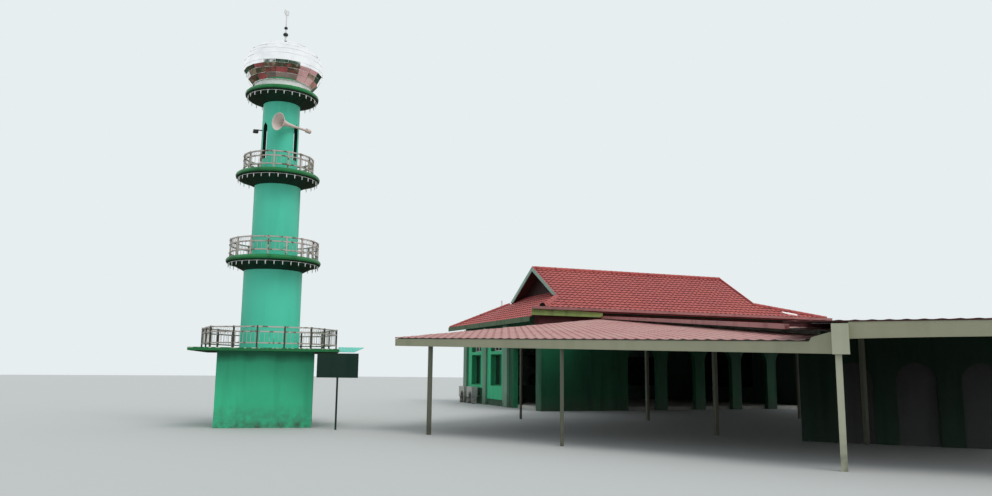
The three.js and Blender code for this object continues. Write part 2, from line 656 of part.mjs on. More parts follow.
function hallBackWall() {
  const end = HALL_X - WALL;
  const top = backLowerSlope(0, HALL_Y) - ROOF - GAP;
  const half = BACK_WINDOW_HALF;
  const windows = BACK_WINDOWS_X.map((x) =>
    box(x - half, x + half, HALL_Y - 2 * WALL, HALL_Y + WALL, WINDOW_SILL, WINDOW_HEAD));
  return piece('hall_back_wall', cut(box(-end, end, HALL_Y - WALL, HALL_Y, 0, top), windows), mintPaint);
}

// An end wall with its windows, top lights and pilasters, and an entrance on the left
function hallEndWall(name, side, endTop, bendY) {
  const outer = side * HALL_X;
  const inner = side * (HALL_X - WALL);
  const backTop = backLowerSlope(0, HALL_Y) - ROOF - GAP;
  const outline = outlineShape([
    [-HALL_Y, 0], [HALL_Y, 0], [HALL_Y, backTop], [bendY, endTop - GAP], [-HALL_Y, endTop - GAP]]);
  const [x0, x1] = [Math.min(outer, inner), Math.max(outer, inner)];
  const proud = side * (HALL_X + PILASTER_THICK);
  const pilasters = PILASTERS.map(([y0, y1]) =>
    box(Math.min(proud, inner), Math.max(proud, inner), y0, y1, 0, PILASTER_TOP));
  const entrance = box(x0 - 300, x1 + 300, ENTRANCE[0], ENTRANCE[1], -100, ENTRANCE_HEAD);
  const holes = side < 0 ? [entrance] : [];
  for (const [y0, y1] of WINDOW_SPANS) {
    holes.push(box(x0 - 300, x1 + 300, y0, y1, WINDOW_SILL, WINDOW_HEAD));
    holes.push(box(x0 - 300, x1 + 300, y0, y1, TOPLIGHT_SILL, TOPLIGHT_HEAD));
  }
  const whole = joined([acrossX(outline, x0, x1), ...pilasters]);
  return piece(name, cut(whole, holes), deepGreenPaint);
}

// A painted plaster band round a window and its top light
function surround(name, side, [y0, y1, foot], [hole0, hole1]) {
  const near = side * (HALL_X + GAP);
  const far = side * (HALL_X + SURROUND_THICK);
  const band = box(Math.min(near, far), Math.max(near, far), y0, y1, foot, SURROUND_TOP);
  const x0 = -HALL_X - 500;
  const x1 = HALL_X + 500;
  const holes = [
    box(x0, x1, hole0, hole1, WINDOW_SILL, WINDOW_HEAD),
    box(x0, x1, hole0, hole1, TOPLIGHT_SILL, TOPLIGHT_HEAD)];
  return piece(name, cut(band, holes), mintPaint);
}

function hallFloor() {
  const x = HALL_X - WALL;
  const y = HALL_Y - WALL;
  return piece('hall_floor', box(-x, x, -y, y, 0, FLOOR_TOP), concrete);
}

// One sheet behind the windows of a wall, against its inner face
function endGlass(name, side) {
  const near = side * (HALL_X - WALL - GAP);
  const far = side * (HALL_X - WALL - GAP - GLASS);
  const sheet = box(Math.min(near, far), Math.max(near, far), -700, 4280, WINDOW_SILL - 60, TOPLIGHT_HEAD + 60);
  return piece(name, sheet, darkGlass);
}

function backGlass() {
  const y = HALL_Y - WALL - GAP;
  const reach = Math.max(...BACK_WINDOWS_X) + BACK_WINDOW_HALF + 60;
  const sheet = box(-reach, reach, y - GLASS, y, WINDOW_SILL - 60, WINDOW_HEAD + 60);
  return piece('back_window_glass', sheet, darkGlass);
}

// Two outdoor units on feet beside the left wall
function airConditioner(name, y0) {
  const [deep, wide, tall] = UNIT_SIZE;
  const x1 = -HALL_X - PILASTER_THICK - 60;
  const x0 = x1 - deep;
  const casing = box(x0, x1, y0, y0 + wide, UNIT_FOOT, UNIT_FOOT + tall);
  const feet = [y0 + 80, y0 + wide - 150].map((y) => box(x0 + 20, x1 - 20, y, y + 60, 0, UNIT_FOOT + 10));
  const stays = [y0 + 150, y0 + wide - 200].map((y) => box(x1 - 20, -HALL_X - GAP, y, y + 30, 400, 430));
  return piece(name, joined([casing, ...feet, ...stays]), greyMetal);
}

function hall() {
  const group = new THREE.Group();
  const leftTop = leftSlope(-HALL_X, 0) - ROOF;
  const rightTop = rightSlope(HALL_X, 0) - ROOF;
  const leftBend = GABLET_BACK_Y + (GABLET_FOOT_Z - ROOF - leftTop) / BACK_RISE;
  const rightBend = GABLET_BACK_Y + (GABLET_FOOT_Z - ROOF - rightTop) / BACK_RISE;
  const leftGablet = GABLET_LEFT_X + GABLET_RECESS;
  const rightGablet = GABLET_RIGHT_X - GABLET_RECESS;
  group.add(
    hallFloor(), hallFrontWall(), hallBackWall(),
    hallEndWall('hall_left_wall', -1, leftTop, leftBend),
    hallEndWall('hall_right_wall', 1, rightTop, rightBend),
    endGlass('left_window_glass', -1), endGlass('right_window_glass', 1), backGlass(),
    ...hallRoof(),
    gabletWall('gablet_wall_left', leftGablet, leftGablet + GABLET_WALL),
    gabletWall('gablet_wall_right', rightGablet - GABLET_WALL, rightGablet),
    bargeBoards('barge_boards_left', GABLET_LEFT_X - BARGE_THICK, GABLET_LEFT_X),
    bargeBoards('barge_boards_right', GABLET_RIGHT_X, GABLET_RIGHT_X + BARGE_THICK),
    ridgeCap(), frontGutter(), frontFascia(), endFascia(), roofVentPipe(),
    airConditioner('air_conditioner_back', UNITS_Y[0]), airConditioner('air_conditioner_front', UNITS_Y[1]),
  );
  SURROUNDS.forEach((band, i) => {
    group.add(surround(`left_surround_${i + 1}`, -1, band, WINDOW_SPANS[i]));
    group.add(surround(`right_surround_${i + 1}`, 1, band, WINDOW_SPANS[i]));
  });
  return group;
}

// Canopies

const LEFT_A = [-16950, -14900];
const LEFT_B = [-11270, -25600];
const LEFT_D = [-9900, -24600];
const LEFT_C = [-4660, -HALL_Y - GAP];
const CORNER = [-10950, -26200];
const leftCanopyTop = slope(LEFT_A[0], LEFT_A[1], 2760, 0.0709, 0.0613);
const underLeft = (x, y) => leftCanopyTop(x, y) - SHEET - GAP;

const forecourtTop = slope(0, -HALL_Y, 4270, 0, 0.0763);
const underForecourt = (x, y) => forecourtTop(x, y) - SHEET - GAP;

const ALONG = [0.692, -0.722];
const DEEP = [0.722, 0.692];
const fromCorner = (along, deep) => [
  CORNER[0] + ALONG[0] * along + DEEP[0] * deep,
  CORNER[1] + ALONG[1] * along + DEEP[1] * deep];
const HEAD_HALF = 155;
const HEAD_FOOT = 2200;
const HEAD_TOP = 2790;
const CANOPY_LENGTH = 6000;
const CANOPY_DEPTH = 7000;
const CANOPY_OVERHANG = 1050;
const CANOPY_RISE = 0.0524;
const CANOPY_EDGE_Z = 2870;
const ARCADE_FRONT = 6720;
const ARCADE_BACK = 6920;
const ARCADE_FROM = -1300;
const ARCADE_STEP = 60;
const ARCADE_TO = 5940;
const ARCADE_LOW_TOP = 2980;
const NICHE_WIDTH = 950;
const NICHE_SPRING = 1650;
const NICHE_DEPTH = 80;
const NICHES_AT = [50, 1550, 3050, 4550];
const rightCanopyTop = slope(CORNER[0], CORNER[1], CANOPY_EDGE_Z, CANOPY_RISE * DEEP[0], CANOPY_RISE * DEEP[1]);
const underRight = (x, y) => rightCanopyTop(x, y) - SHEET - GAP;

const between = ([ax, ay], [bx, by], share) => [ax + (bx - ax) * share, ay + (by - ay) * share];

// A point on the line from a to b, moved aside to its left
function beside(a, b, share, aside) {
  const along = new THREE.Vector2(b[0] - a[0], b[1] - a[1]).normalize();
  const [x, y] = between(a, b, share);
  return [x - along.y * aside, y + along.x * aside];
}

// The line where the left canopy and the forecourt roof meet
const sharedEdge = (share, aside = 0) => beside(LEFT_C, LEFT_D, share, aside);

// The road line of the left canopy: its board stands in front of its beam
const roadEdge = (share, aside = 0) => beside(LEFT_A, CORNER, share, aside);
const BOARD_FRONT = 10;
const BOARD_BACK = 40;
const BOARD_FOOT_LEFT = 2500;
const BOARD_FOOT_RIGHT = 2210;
const BOARD_TOP_RIGHT = 2640;
const BOARD_TOP_PAST_SHEET = 2540;
const SHEET_END_SHARE = 0.952;
const TO_CORNER_BOX = 173;

function leftCanopy() {
  const sheet = slopePlate([LEFT_A, LEFT_B, LEFT_D, LEFT_C], leftCanopyTop, SHEET);
  const middle = between(LEFT_A, LEFT_C, 0.5);
  const behindBoard = BOARD_BACK + 0.7 * POST_SIDE;
  const edge = roadEdge(0.472, behindBoard);
  const frame = joined([
    beam(roadEdge(0.01), roadEdge(0.94), underLeft, -BOARD_BACK - GAP - BEAM_WIDTH / 2),
    crossBeam(between(LEFT_A, LEFT_C, 0.012), between(LEFT_A, LEFT_C, 0.985), underLeft),
    crossBeam(edge, middle, underLeft),
    beam(sharedEdge(0.012), sharedEdge(0.98), underLeft, BEAM_WIDTH / 2 + GAP),
    crossBeam(middle, sharedEdge(0.4, -60), underLeft),
    postUnder(roadEdge(0.109, behindBoard), underLeft),
    postUnder(edge, underLeft, 70),
    postUnder(middle, underLeft, 70),
  ]);
  return [
    piece('left_canopy_roof', sheet, canopySheet),
    piece('left_canopy_frame', frame, beigePaint),
  ];
}

// The road-side board, a little under the sheet's edge, that rises to the corner box
function leftCanopyFascia() {
  const length = Math.hypot(CORNER[0] - LEFT_A[0], CORNER[1] - LEFT_A[1]);
  const sheetEnd = SHEET_END_SHARE * length;
  const topAt = (share) => leftCanopyTop(...between(LEFT_A, CORNER, share)) - SHEET - 10;
  const end = length - TO_CORNER_BOX;
  const outline = outlineShape([
    [0, BOARD_FOOT_LEFT], [end, BOARD_FOOT_RIGHT], [end, BOARD_TOP_RIGHT],
    [sheetEnd + 50, BOARD_TOP_PAST_SHEET], [sheetEnd, topAt(SHEET_END_SHARE)], [0, topAt(0)]]);
  const board = acrossY(outline, BOARD_FRONT, BOARD_BACK);
  const mesh = piece('left_canopy_fascia', board, beigePaint);
  mesh.position.set(LEFT_A[0], LEFT_A[1], 0);
  mesh.rotation.z = Math.atan2(CORNER[1] - LEFT_A[1], CORNER[0] - LEFT_A[0]);
  return mesh;
}

const FORECOURT_LEFT_X = -4750;
const FORECOURT_FRONT_Y = -16200;
const FORECOURT_POST_X = 7650;
const FORECOURT_MIDDLE_Y = -12300;

function forecourt() {
  const start = [FORECOURT_LEFT_X, -HALL_Y - GAP];
  const tip = between(start, CORNER, 0.985);
  const backRight = fromCorner(CANOPY_LENGTH, CANOPY_DEPTH);
  const backLeft = fromCorner(0, CANOPY_DEPTH);
  const sheet = slopePlate([
    start, tip, fromCorner(0, 200), backLeft, backRight,
    [HALL_X, FORECOURT_FRONT_Y], [HALL_X, start[1]]], forecourtTop, SHEET);
  const frontRight = [FORECOURT_POST_X - 50, FORECOURT_FRONT_Y];
  const middleRight = [FORECOURT_POST_X, FORECOURT_MIDDLE_Y];
  const postAside = 0.62 * POST_SIDE + 5;
  const frame = joined([
    beam(sharedEdge(0.01), sharedEdge(0.99), underForecourt, -BEAM_WIDTH / 2 - GAP),
    beam([FORECOURT_POST_X, start[1]], [FORECOURT_POST_X, FORECOURT_FRONT_Y], underForecourt),
    crossBeam(frontRight, between(frontRight, backRight, 0.98), underForecourt),
    crossBeam(sharedEdge(0.34, 40), middleRight, underForecourt),
    crossBeam(sharedEdge(0.68, 40), between(frontRight, backRight, 0.4), underForecourt),
    postUnder(sharedEdge(0.34, postAside), underForecourt),
    postUnder(sharedEdge(0.68, postAside), underForecourt),
    postUnder(middleRight, underForecourt),
    postUnder([frontRight[0], FORECOURT_FRONT_Y + 50], underForecourt),
    postUnder(between(frontRight, backRight, 0.4), underForecourt),
    postUnder(between(frontRight, backRight, 0.96), underForecourt),
    postUnder(between(sharedEdge(0.34), middleRight, 0.5), underForecourt),
  ]);
  const gutterFrom = between(start, CORNER, 0.035);
  const gutterTo = between(start, CORNER, 0.9);
  const lift = (height) => (x, y) => forecourtTop(x, y) + height;
  const gutter = joined([
    slopePlate(strip(gutterFrom, gutterTo, 1, 120), lift(-SHEET + 12), 12),
    slopePlate(strip(gutterFrom, gutterTo, 1, 13), lift(80), 120),
    slopePlate(strip(gutterFrom, gutterTo, 108, 120), lift(80), 120),
  ]);
  return [
    piece('forecourt_roof', sheet, canopySheet),
    piece('forecourt_frame', frame, beigePaint),
    piece('forecourt_gutter', gutter, pinkGutter),
  ];
}

function rightCanopy() {
  const corners = [
    fromCorner(-CANOPY_OVERHANG, 0), fromCorner(CANOPY_LENGTH, 0),
    fromCorner(CANOPY_LENGTH, CANOPY_DEPTH - 60), fromCorner(-CANOPY_OVERHANG, CANOPY_DEPTH - 60)];
  const sheet = slopePlate(corners, rightCanopyTop, SHEET);
  const farEnd = CANOPY_LENGTH - 100;
  const frame = joined([
    beam(fromCorner(HEAD_HALF + GAP, 100), fromCorner(CANOPY_LENGTH - 50, 100), underRight),
    beam(fromCorner(300, CANOPY_DEPTH - 400), fromCorner(CANOPY_LENGTH - 50, CANOPY_DEPTH - 400), underRight),
    crossBeam(fromCorner(300, 100), fromCorner(300, CANOPY_DEPTH - 400), underRight),
    crossBeam(fromCorner(farEnd, 100), fromCorner(farEnd, CANOPY_DEPTH - 400), underRight),
    postUnder(fromCorner(farEnd, 200), underRight),
    postUnder(fromCorner(300, CANOPY_DEPTH - 450), underRight),
    postUnder(fromCorner(farEnd, CANOPY_DEPTH - 450), underRight),
  ]);
  const outline = new THREE.Shape();
  const from = HEAD_HALF + GAP;
  const top = CANOPY_EDGE_Z - SHEET + GAP;
  outline.moveTo(from, BOARD_FOOT_LEFT);
  outline.quadraticCurveTo(CANOPY_LENGTH / 2, BOARD_FOOT_LEFT + 60, CANOPY_LENGTH, BOARD_FOOT_LEFT);
  outline.lineTo(CANOPY_LENGTH, top);
  outline.lineTo(from, top);
  const fascia = piece('right_canopy_fascia', acrossY(outline, BOARD_FRONT, BOARD_BACK), beigePaint);
  fascia.position.set(CORNER[0], CORNER[1], 0);
  fascia.rotation.z = Math.atan2(ALONG[1], ALONG[0]);
  return [
    piece('right_canopy_roof', sheet, canopySheet),
    piece('right_canopy_frame', frame, beigePaint),
    fascia,
  ];
}

// A low wall with blind arches behind the right canopy, under the two roofs
function rightArcadeWall() {
  const underCanopy = CANOPY_EDGE_Z + CANOPY_RISE * ARCADE_FRONT - SHEET - GAP;
  const outline = outlineShape([
    [ARCADE_FROM, 0], [ARCADE_TO, 0], [ARCADE_TO, underCanopy], [ARCADE_STEP, underCanopy],
    [ARCADE_STEP, ARCADE_LOW_TOP], [ARCADE_FROM, ARCADE_LOW_TOP]]);
  const half = NICHE_WIDTH / 2;
  const niches = NICHES_AT.map((centre) => {
    const shape = new THREE.Shape();
    shape.moveTo(centre - half, -100);
    shape.lineTo(centre + half, -100);
    shape.lineTo(centre + half, NICHE_SPRING);
    shape.absarc(centre, NICHE_SPRING, half, 0, Math.PI, false);
    return acrossY(shape, ARCADE_FRONT - 100, ARCADE_FRONT + NICHE_DEPTH);
  });
  const wall = cut(acrossY(outline, ARCADE_FRONT, ARCADE_BACK), niches);
  const mesh = piece('right_arcade_wall', wall, deepGreenPaint);
  mesh.position.set(CORNER[0], CORNER[1], 0);
  mesh.rotation.z = Math.atan2(ALONG[1], ALONG[0]);
  return mesh;
}

// The boxed head and post where the two canopy fronts meet
function cornerPost() {
  const head = box(-HEAD_HALF, HEAD_HALF, -HEAD_HALF, HEAD_HALF, HEAD_FOOT, HEAD_TOP);
  const post = box(-110, 10, -60, 60, 0, HEAD_FOOT + 10);
  const mesh = piece('corner_post', joined([head, post]), beigePaint);
  mesh.position.set(CORNER[0], CORNER[1], 0);
  mesh.rotation.z = Math.atan2(ALONG[1], ALONG[0]);
  return mesh;
}

const mosque = new THREE.Group();
mosque.add(minaret(), signBoard(), hall());
mosque.add(...leftCanopy(), leftCanopyFascia(), ...forecourt(), ...rightCanopy(), rightArcadeWall(), cornerPost());

export default mosque;
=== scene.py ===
# %% [markdown]
# A small town mosque: a round minaret with a mirrored dome stands by itself beside a tiled
# prayer hall, with low sheet-metal canopies in front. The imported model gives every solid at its
# real size, in metres. This script keeps those solids, paints them, and adds the fine pieces:
# tiles, mirror panels, bars, lamps and frames.

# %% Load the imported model
import math
import random

import bmesh
import bpy
from mathutils import Matrix, Vector


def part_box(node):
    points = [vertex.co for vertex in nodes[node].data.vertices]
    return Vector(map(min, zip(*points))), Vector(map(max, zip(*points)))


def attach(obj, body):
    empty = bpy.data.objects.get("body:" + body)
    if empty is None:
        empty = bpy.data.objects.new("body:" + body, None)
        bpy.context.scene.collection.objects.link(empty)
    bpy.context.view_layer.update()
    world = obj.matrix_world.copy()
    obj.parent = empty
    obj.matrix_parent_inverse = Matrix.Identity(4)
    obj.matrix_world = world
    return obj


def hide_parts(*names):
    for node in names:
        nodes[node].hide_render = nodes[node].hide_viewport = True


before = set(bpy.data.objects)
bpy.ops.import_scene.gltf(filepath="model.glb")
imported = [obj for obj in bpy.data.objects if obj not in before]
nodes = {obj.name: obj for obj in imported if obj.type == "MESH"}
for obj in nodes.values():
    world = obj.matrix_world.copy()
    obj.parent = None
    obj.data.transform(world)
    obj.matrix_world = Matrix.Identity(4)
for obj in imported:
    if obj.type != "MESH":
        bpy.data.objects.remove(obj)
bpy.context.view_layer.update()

# %% [markdown]
# The camera stands where the photographer stood: at eye height across the street, looking a
# little up, with the head tilted by half a degree. The lens comes from the focal length in
# pixels, so the same view holds at any render size.

# %% Camera
PHOTO_WIDTH = 992
FOCAL_PIXELS = 800
EYE = Vector((-22.84, -38.32, 1.85))
HEADING = math.radians(-21.2)
LOOK_UP = math.radians(8.6)
LEAN = math.radians(0.6)

camera_data = bpy.data.cameras.new("street_camera")
camera_data.sensor_width = 36
camera_data.lens = camera_data.sensor_width * FOCAL_PIXELS / PHOTO_WIDTH
camera_data.clip_end = 500
camera = bpy.data.objects.new("street_camera", camera_data)
bpy.context.scene.collection.objects.link(camera)
aim = Matrix.Rotation(HEADING, 4, "Z") @ Matrix.Rotation(math.pi / 2 + LOOK_UP, 4, "X")
camera.matrix_world = Matrix.Translation(EYE) @ aim @ Matrix.Rotation(LEAN, 4, "Z")
bpy.context.scene.camera = camera
print("lens", round(camera_data.lens, 2), "mm")

# %% [markdown]
# Colours are given as three numbers of 0 to 255, the way a screen shows them. Blender works in
# linear light, so each triple is turned into linear values when a node takes it.

# %% Colours


def tint(red, green, blue):
    """A colour of 0 to 255 as a screen shows it, in linear light."""
    shares = [channel / 255 for channel in (red, green, blue)]
    linear = [s / 12.92 if s <= 0.04045 else ((s + 0.055) / 1.055) ** 2.4 for s in shares]
    return (*linear, 1)


print("a middle grey in linear light", round(tint(128, 128, 128)[0], 3))

# %% [markdown]
# The sky and every finish are node trees, so one small class builds them all. Its methods read
# the object's own coordinates, or for the sky the direction, and return sockets: noise, a
# stretched noise for rain streaks, a blend between two marks, a mix of two colours. A finish
# stays the same from every side, because nothing in it knows where the camera is.

# %% The building kit for node trees


class Tree:
    """Short calls that add nodes to a tree and join them."""

    def __init__(self, tree, coordinate):
        self.nodes = tree.nodes
        self.links = tree.links
        self.place = self.nodes.new("ShaderNodeTexCoord").outputs[coordinate]
        split = self.nodes.new("ShaderNodeSeparateXYZ")
        self.links.new(self.place, split.inputs["Vector"])
        self.axes = {axis: split.outputs[axis] for axis in "XYZ"}

    def put(self, value, socket):
        """Joins a socket, or sets a plain value. A triple is a screen colour."""
        if isinstance(value, bpy.types.NodeSocket):
            self.links.new(value, socket)
        elif isinstance(value, tuple) and len(value) == 3:
            socket.default_value = tint(*value)
        else:
            socket.default_value = value

    def math(self, operation, first, second=0.0):
        node = self.nodes.new("ShaderNodeMath")
        node.operation = operation
        self.put(first, node.inputs[0])
        self.put(second, node.inputs[1])
        return node.outputs["Value"]

    def noise(self, scale, detail=3.0, stretch=(1, 1, 1)):
        """Cloudy noise, so many clouds to the metre, drawn out along any axis."""
        mapping = self.nodes.new("ShaderNodeMapping")
        mapping.inputs["Scale"].default_value = stretch
        texture = self.nodes.new("ShaderNodeTexNoise")
        texture.inputs["Scale"].default_value = scale
        texture.inputs["Detail"].default_value = detail
        self.links.new(self.place, mapping.inputs["Vector"])
        self.links.new(mapping.outputs["Vector"], texture.inputs["Vector"])
        return texture.outputs["Fac"]

    def between(self, value, low, high):
        """0 at the low mark, 1 at the high one, and level past them."""
        node = self.nodes.new("ShaderNodeMapRange")
        node.inputs["From Min"].default_value = low
        node.inputs["From Max"].default_value = high
        self.put(value, node.inputs["Value"])
        return node.outputs["Result"]

    def mix(self, share, first, second):
        node = self.nodes.new("ShaderNodeMix")
        node.data_type = "RGBA"
        self.put(share, node.inputs["Factor"])
        self.put(first, node.inputs["A"])
        self.put(second, node.inputs["B"])
        return node.outputs["Result"]

    def ramp(self, value, marks):
        """A colour for each mark, blended between them."""
        node = self.nodes.new("ShaderNodeValToRGB")
        elements = node.color_ramp.elements
        while len(elements) < len(marks):
            elements.new(0.5)
        for element, (place, colour) in zip(elements, marks):
            element.position = place
            element.color = tint(*colour)
        self.put(value, node.inputs["Fac"])
        return node.outputs["Color"]


# %% [markdown]
# The day is overcast, so most of the light comes from a pale sky all round, a little darker and
# greener near the horizon, where trees stand. That gradient lights the matt surfaces. The
# mirrored dome needs something to reflect, so reflections see a street of their own: pale sky, a
# ragged line of dark trees, patches of house walls, and pavement below. Two noises make it. One
# pushes the line of the trees up and down, the other picks the colour of each patch. A light
# path node tells which kind of ray asks, and the camera gets a plain pale backdrop.

# %% Sky and the street that the dome reflects
BACKDROP = (231, 238, 240)
SKY = (232, 238, 244)
HORIZON = (88, 100, 92)
BLACK = (0, 0, 0)
WHITE = (255, 255, 255)
RAGGED = 0.16

world = bpy.data.worlds.new("soft_sky")
world.use_nodes = True
bpy.context.scene.world = world
world.node_tree.nodes.clear()
sky = Tree(world.node_tree, "Generated")
gradient = sky.mix(sky.between(sky.axes["Z"], 0.02, 0.22), HORIZON, SKY)
ragged = sky.math("ADD", sky.axes["Z"], sky.math("MULTIPLY", sky.noise(9), RAGGED))
level = sky.between(ragged, -1, 0.5)
houses = sky.ramp(sky.noise(13), (
    (0.38, (30, 46, 32)), (0.43, (160, 140, 118)), (0.47, (34, 48, 34)),
    (0.56, (44, 54, 40)), (0.62, (150, 72, 72)), (0.68, (96, 74, 72))))
skyline = sky.ramp(level, (
    (0.0, (96, 84, 80)), (0.15, (124, 110, 102)), (0.2, (60, 58, 52)),
    (0.64, (26, 44, 32)), (0.735, (60, 80, 64)), (0.755, (243, 246, 246))))
house_band = sky.ramp(level, ((0.2, BLACK), (0.25, WHITE), (0.61, WHITE), (0.65, BLACK)))
street = sky.mix(house_band, skyline, houses)

ray = sky.nodes.new("ShaderNodeLightPath")
seen = sky.mix(ray.outputs["Is Glossy Ray"], gradient, street)
seen = sky.mix(ray.outputs["Is Camera Ray"], seen, BACKDROP)
sky_light = sky.nodes.new("ShaderNodeBackground")
sky.put(seen, sky_light.inputs["Color"])
sky_out = sky.nodes.new("ShaderNodeOutputWorld")
sky.put(sky_light.outputs["Background"], sky_out.inputs["Surface"])
print("sky nodes", len(sky.nodes))

# %% [markdown]
# A finish is such a tree with one Principled shader at its end. It adds a roughness that follows
# a pattern, a bump, and the last call, which sets the colour and gives the material. Every finish
# is kept in `FINISHES`, where the pieces find it by its name.

# %% Finishes
FINISHES = {}


class Finish(Tree):
    """One Principled material, built with the same short calls."""

    def __init__(self, name, roughness=0.6, metallic=0.0):
        self.material = bpy.data.materials.new(name)
        FINISHES[name] = self.material
        self.material.use_nodes = True
        super().__init__(self.material.node_tree, "Object")
        self.shader = self.nodes["Principled BSDF"]
        self.shader.inputs["Roughness"].default_value = roughness
        self.shader.inputs["Metallic"].default_value = metallic

    def rough(self, share, smooth, coarse):
        """Roughness that follows a share from a smooth to a coarse value."""
        node = self.nodes.new("ShaderNodeMapRange")
        node.inputs["To Min"].default_value = smooth
        node.inputs["To Max"].default_value = coarse
        self.put(share, node.inputs["Value"])
        self.links.new(node.outputs["Result"], self.shader.inputs["Roughness"])

    def bump(self, relief, depth):
        node = self.nodes.new("ShaderNodeBump")
        node.inputs["Distance"].default_value = depth
        self.links.new(relief, node.inputs["Height"])
        self.links.new(node.outputs["Normal"], self.shader.inputs["Normal"])

    def done(self, colour):
        self.put(colour, self.shader.inputs["Base Color"])
        return self.material


def shaded(colour, share):
    """A lighter or darker version of a screen colour, in linear light."""
    return (*[min(1, channel * share) for channel in tint(*colour)[:3]], 1)


# %% [markdown]
# One very soft sun stands high behind the camera. It only shapes the surfaces: it stays out of
# the dome's reflections, where it would leave white blots. The floor is a wide pale disc.

# %% Sun and floor
SUN_FROM = Vector((0.3, -0.8, 1.3))
sun_data = bpy.data.lights.new("soft_sun", "SUN")
sun_data.energy = 1.4
sun_data.angle = math.radians(35)
sun_data.color = (1, 0.98, 0.95)
sun = bpy.data.objects.new("soft_sun", sun_data)
sun.rotation_euler = SUN_FROM.to_track_quat("Z", "Y").to_euler()
sun.visible_glossy = False
bpy.context.scene.collection.objects.link(sun)
bpy.context.scene.view_settings.view_transform = "Standard"

FLOOR_REACH = 140
floor_mesh = bpy.data.meshes.new("studio_floor")
floor_shape = bmesh.new()
bmesh.ops.create_circle(floor_shape, cap_ends=True, segments=96, radius=FLOOR_REACH)
floor_shape.to_mesh(floor_mesh)
floor_shape.free()
studio_floor = bpy.data.objects.new("studio_floor", floor_mesh)
studio_floor.location = (-6, -10, -0.002)
bpy.context.scene.collection.objects.link(studio_floor)
floor_mesh.materials.append(Finish("studio_floor", 0.9).done((178, 180, 178)))
studio_floor.visible_glossy = False
print("sun strength", sun_data.energy, "floor radius", FLOOR_REACH)

# %% [markdown]
# Masonry paint in the tropics fades in wide clouds, darkens in rain streaks and picks up grime
# near the ground. Below a ledge it gets a ragged dark band, which is painted shade from the
# ledge. Each of these is one noise, and `paint` adds them up. The bump is the roller's
# orange-peel and the trowel's slow waves. Every row of `PAINTS` gives a name, a colour, the colour
# of its stains, then roughness, fading, streaks, foot, relief and ledge, where they aren't usual.

# %% Finishes: paint on plaster, boards and steel
GRIME = (70, 72, 62)
LEDGE_SHADE = (14, 48, 26)


def paint(name, colour, stain, roughness=0.55, fade=0.10, streaks=0.35, foot=None, relief=0.004,
          ledge=None):
    """Weathered paint: wide fading, upright rain streaks, grime at the foot, painted shade under a
    ledge, a rolled surface.
    """
    finish = Finish(name, roughness)
    clouds = finish.between(finish.noise(0.55, 4), 0.38, 0.66)
    speckle = finish.noise(26, 2)
    base = finish.mix(clouds, shaded(colour, 1 - fade), shaded(colour, 1 + fade))
    base = finish.mix(finish.math("MULTIPLY", speckle, 0.16), base, shaded(colour, 0.8))
    runs = finish.between(finish.noise(2.6, 4, (1, 1, 0.1)), 0.5, 0.78)
    base = finish.mix(finish.math("MULTIPLY", runs, streaks), base, stain)
    if foot is not None:
        damp = finish.between(finish.axes["Z"], foot + 0.75, foot)
        patchy = finish.between(finish.noise(5, 5), 0.3, 0.75)
        base = finish.mix(finish.math("MULTIPLY", damp, patchy), base, GRIME)
    # Painted shade: a ragged dark band below the ledge, where the ledge's shade falls on the wall.
    if ledge is not None:
        shade_edge_noise = finish.math("MULTIPLY", finish.noise(3, 5, (1, 1, 0.2)), 0.3)
        shade_band = finish.between(finish.math("ADD", finish.axes["Z"], shade_edge_noise), ledge - 0.2, ledge + 0.05)
        base = finish.mix(finish.math("MULTIPLY", shade_band, 0.6), base, LEDGE_SHADE)
    finish.rough(runs, roughness, min(1, roughness + 0.25))
    finish.bump(finish.math("ADD", finish.noise(60, 2), finish.noise(3, 2)), relief)
    finish.done(base)


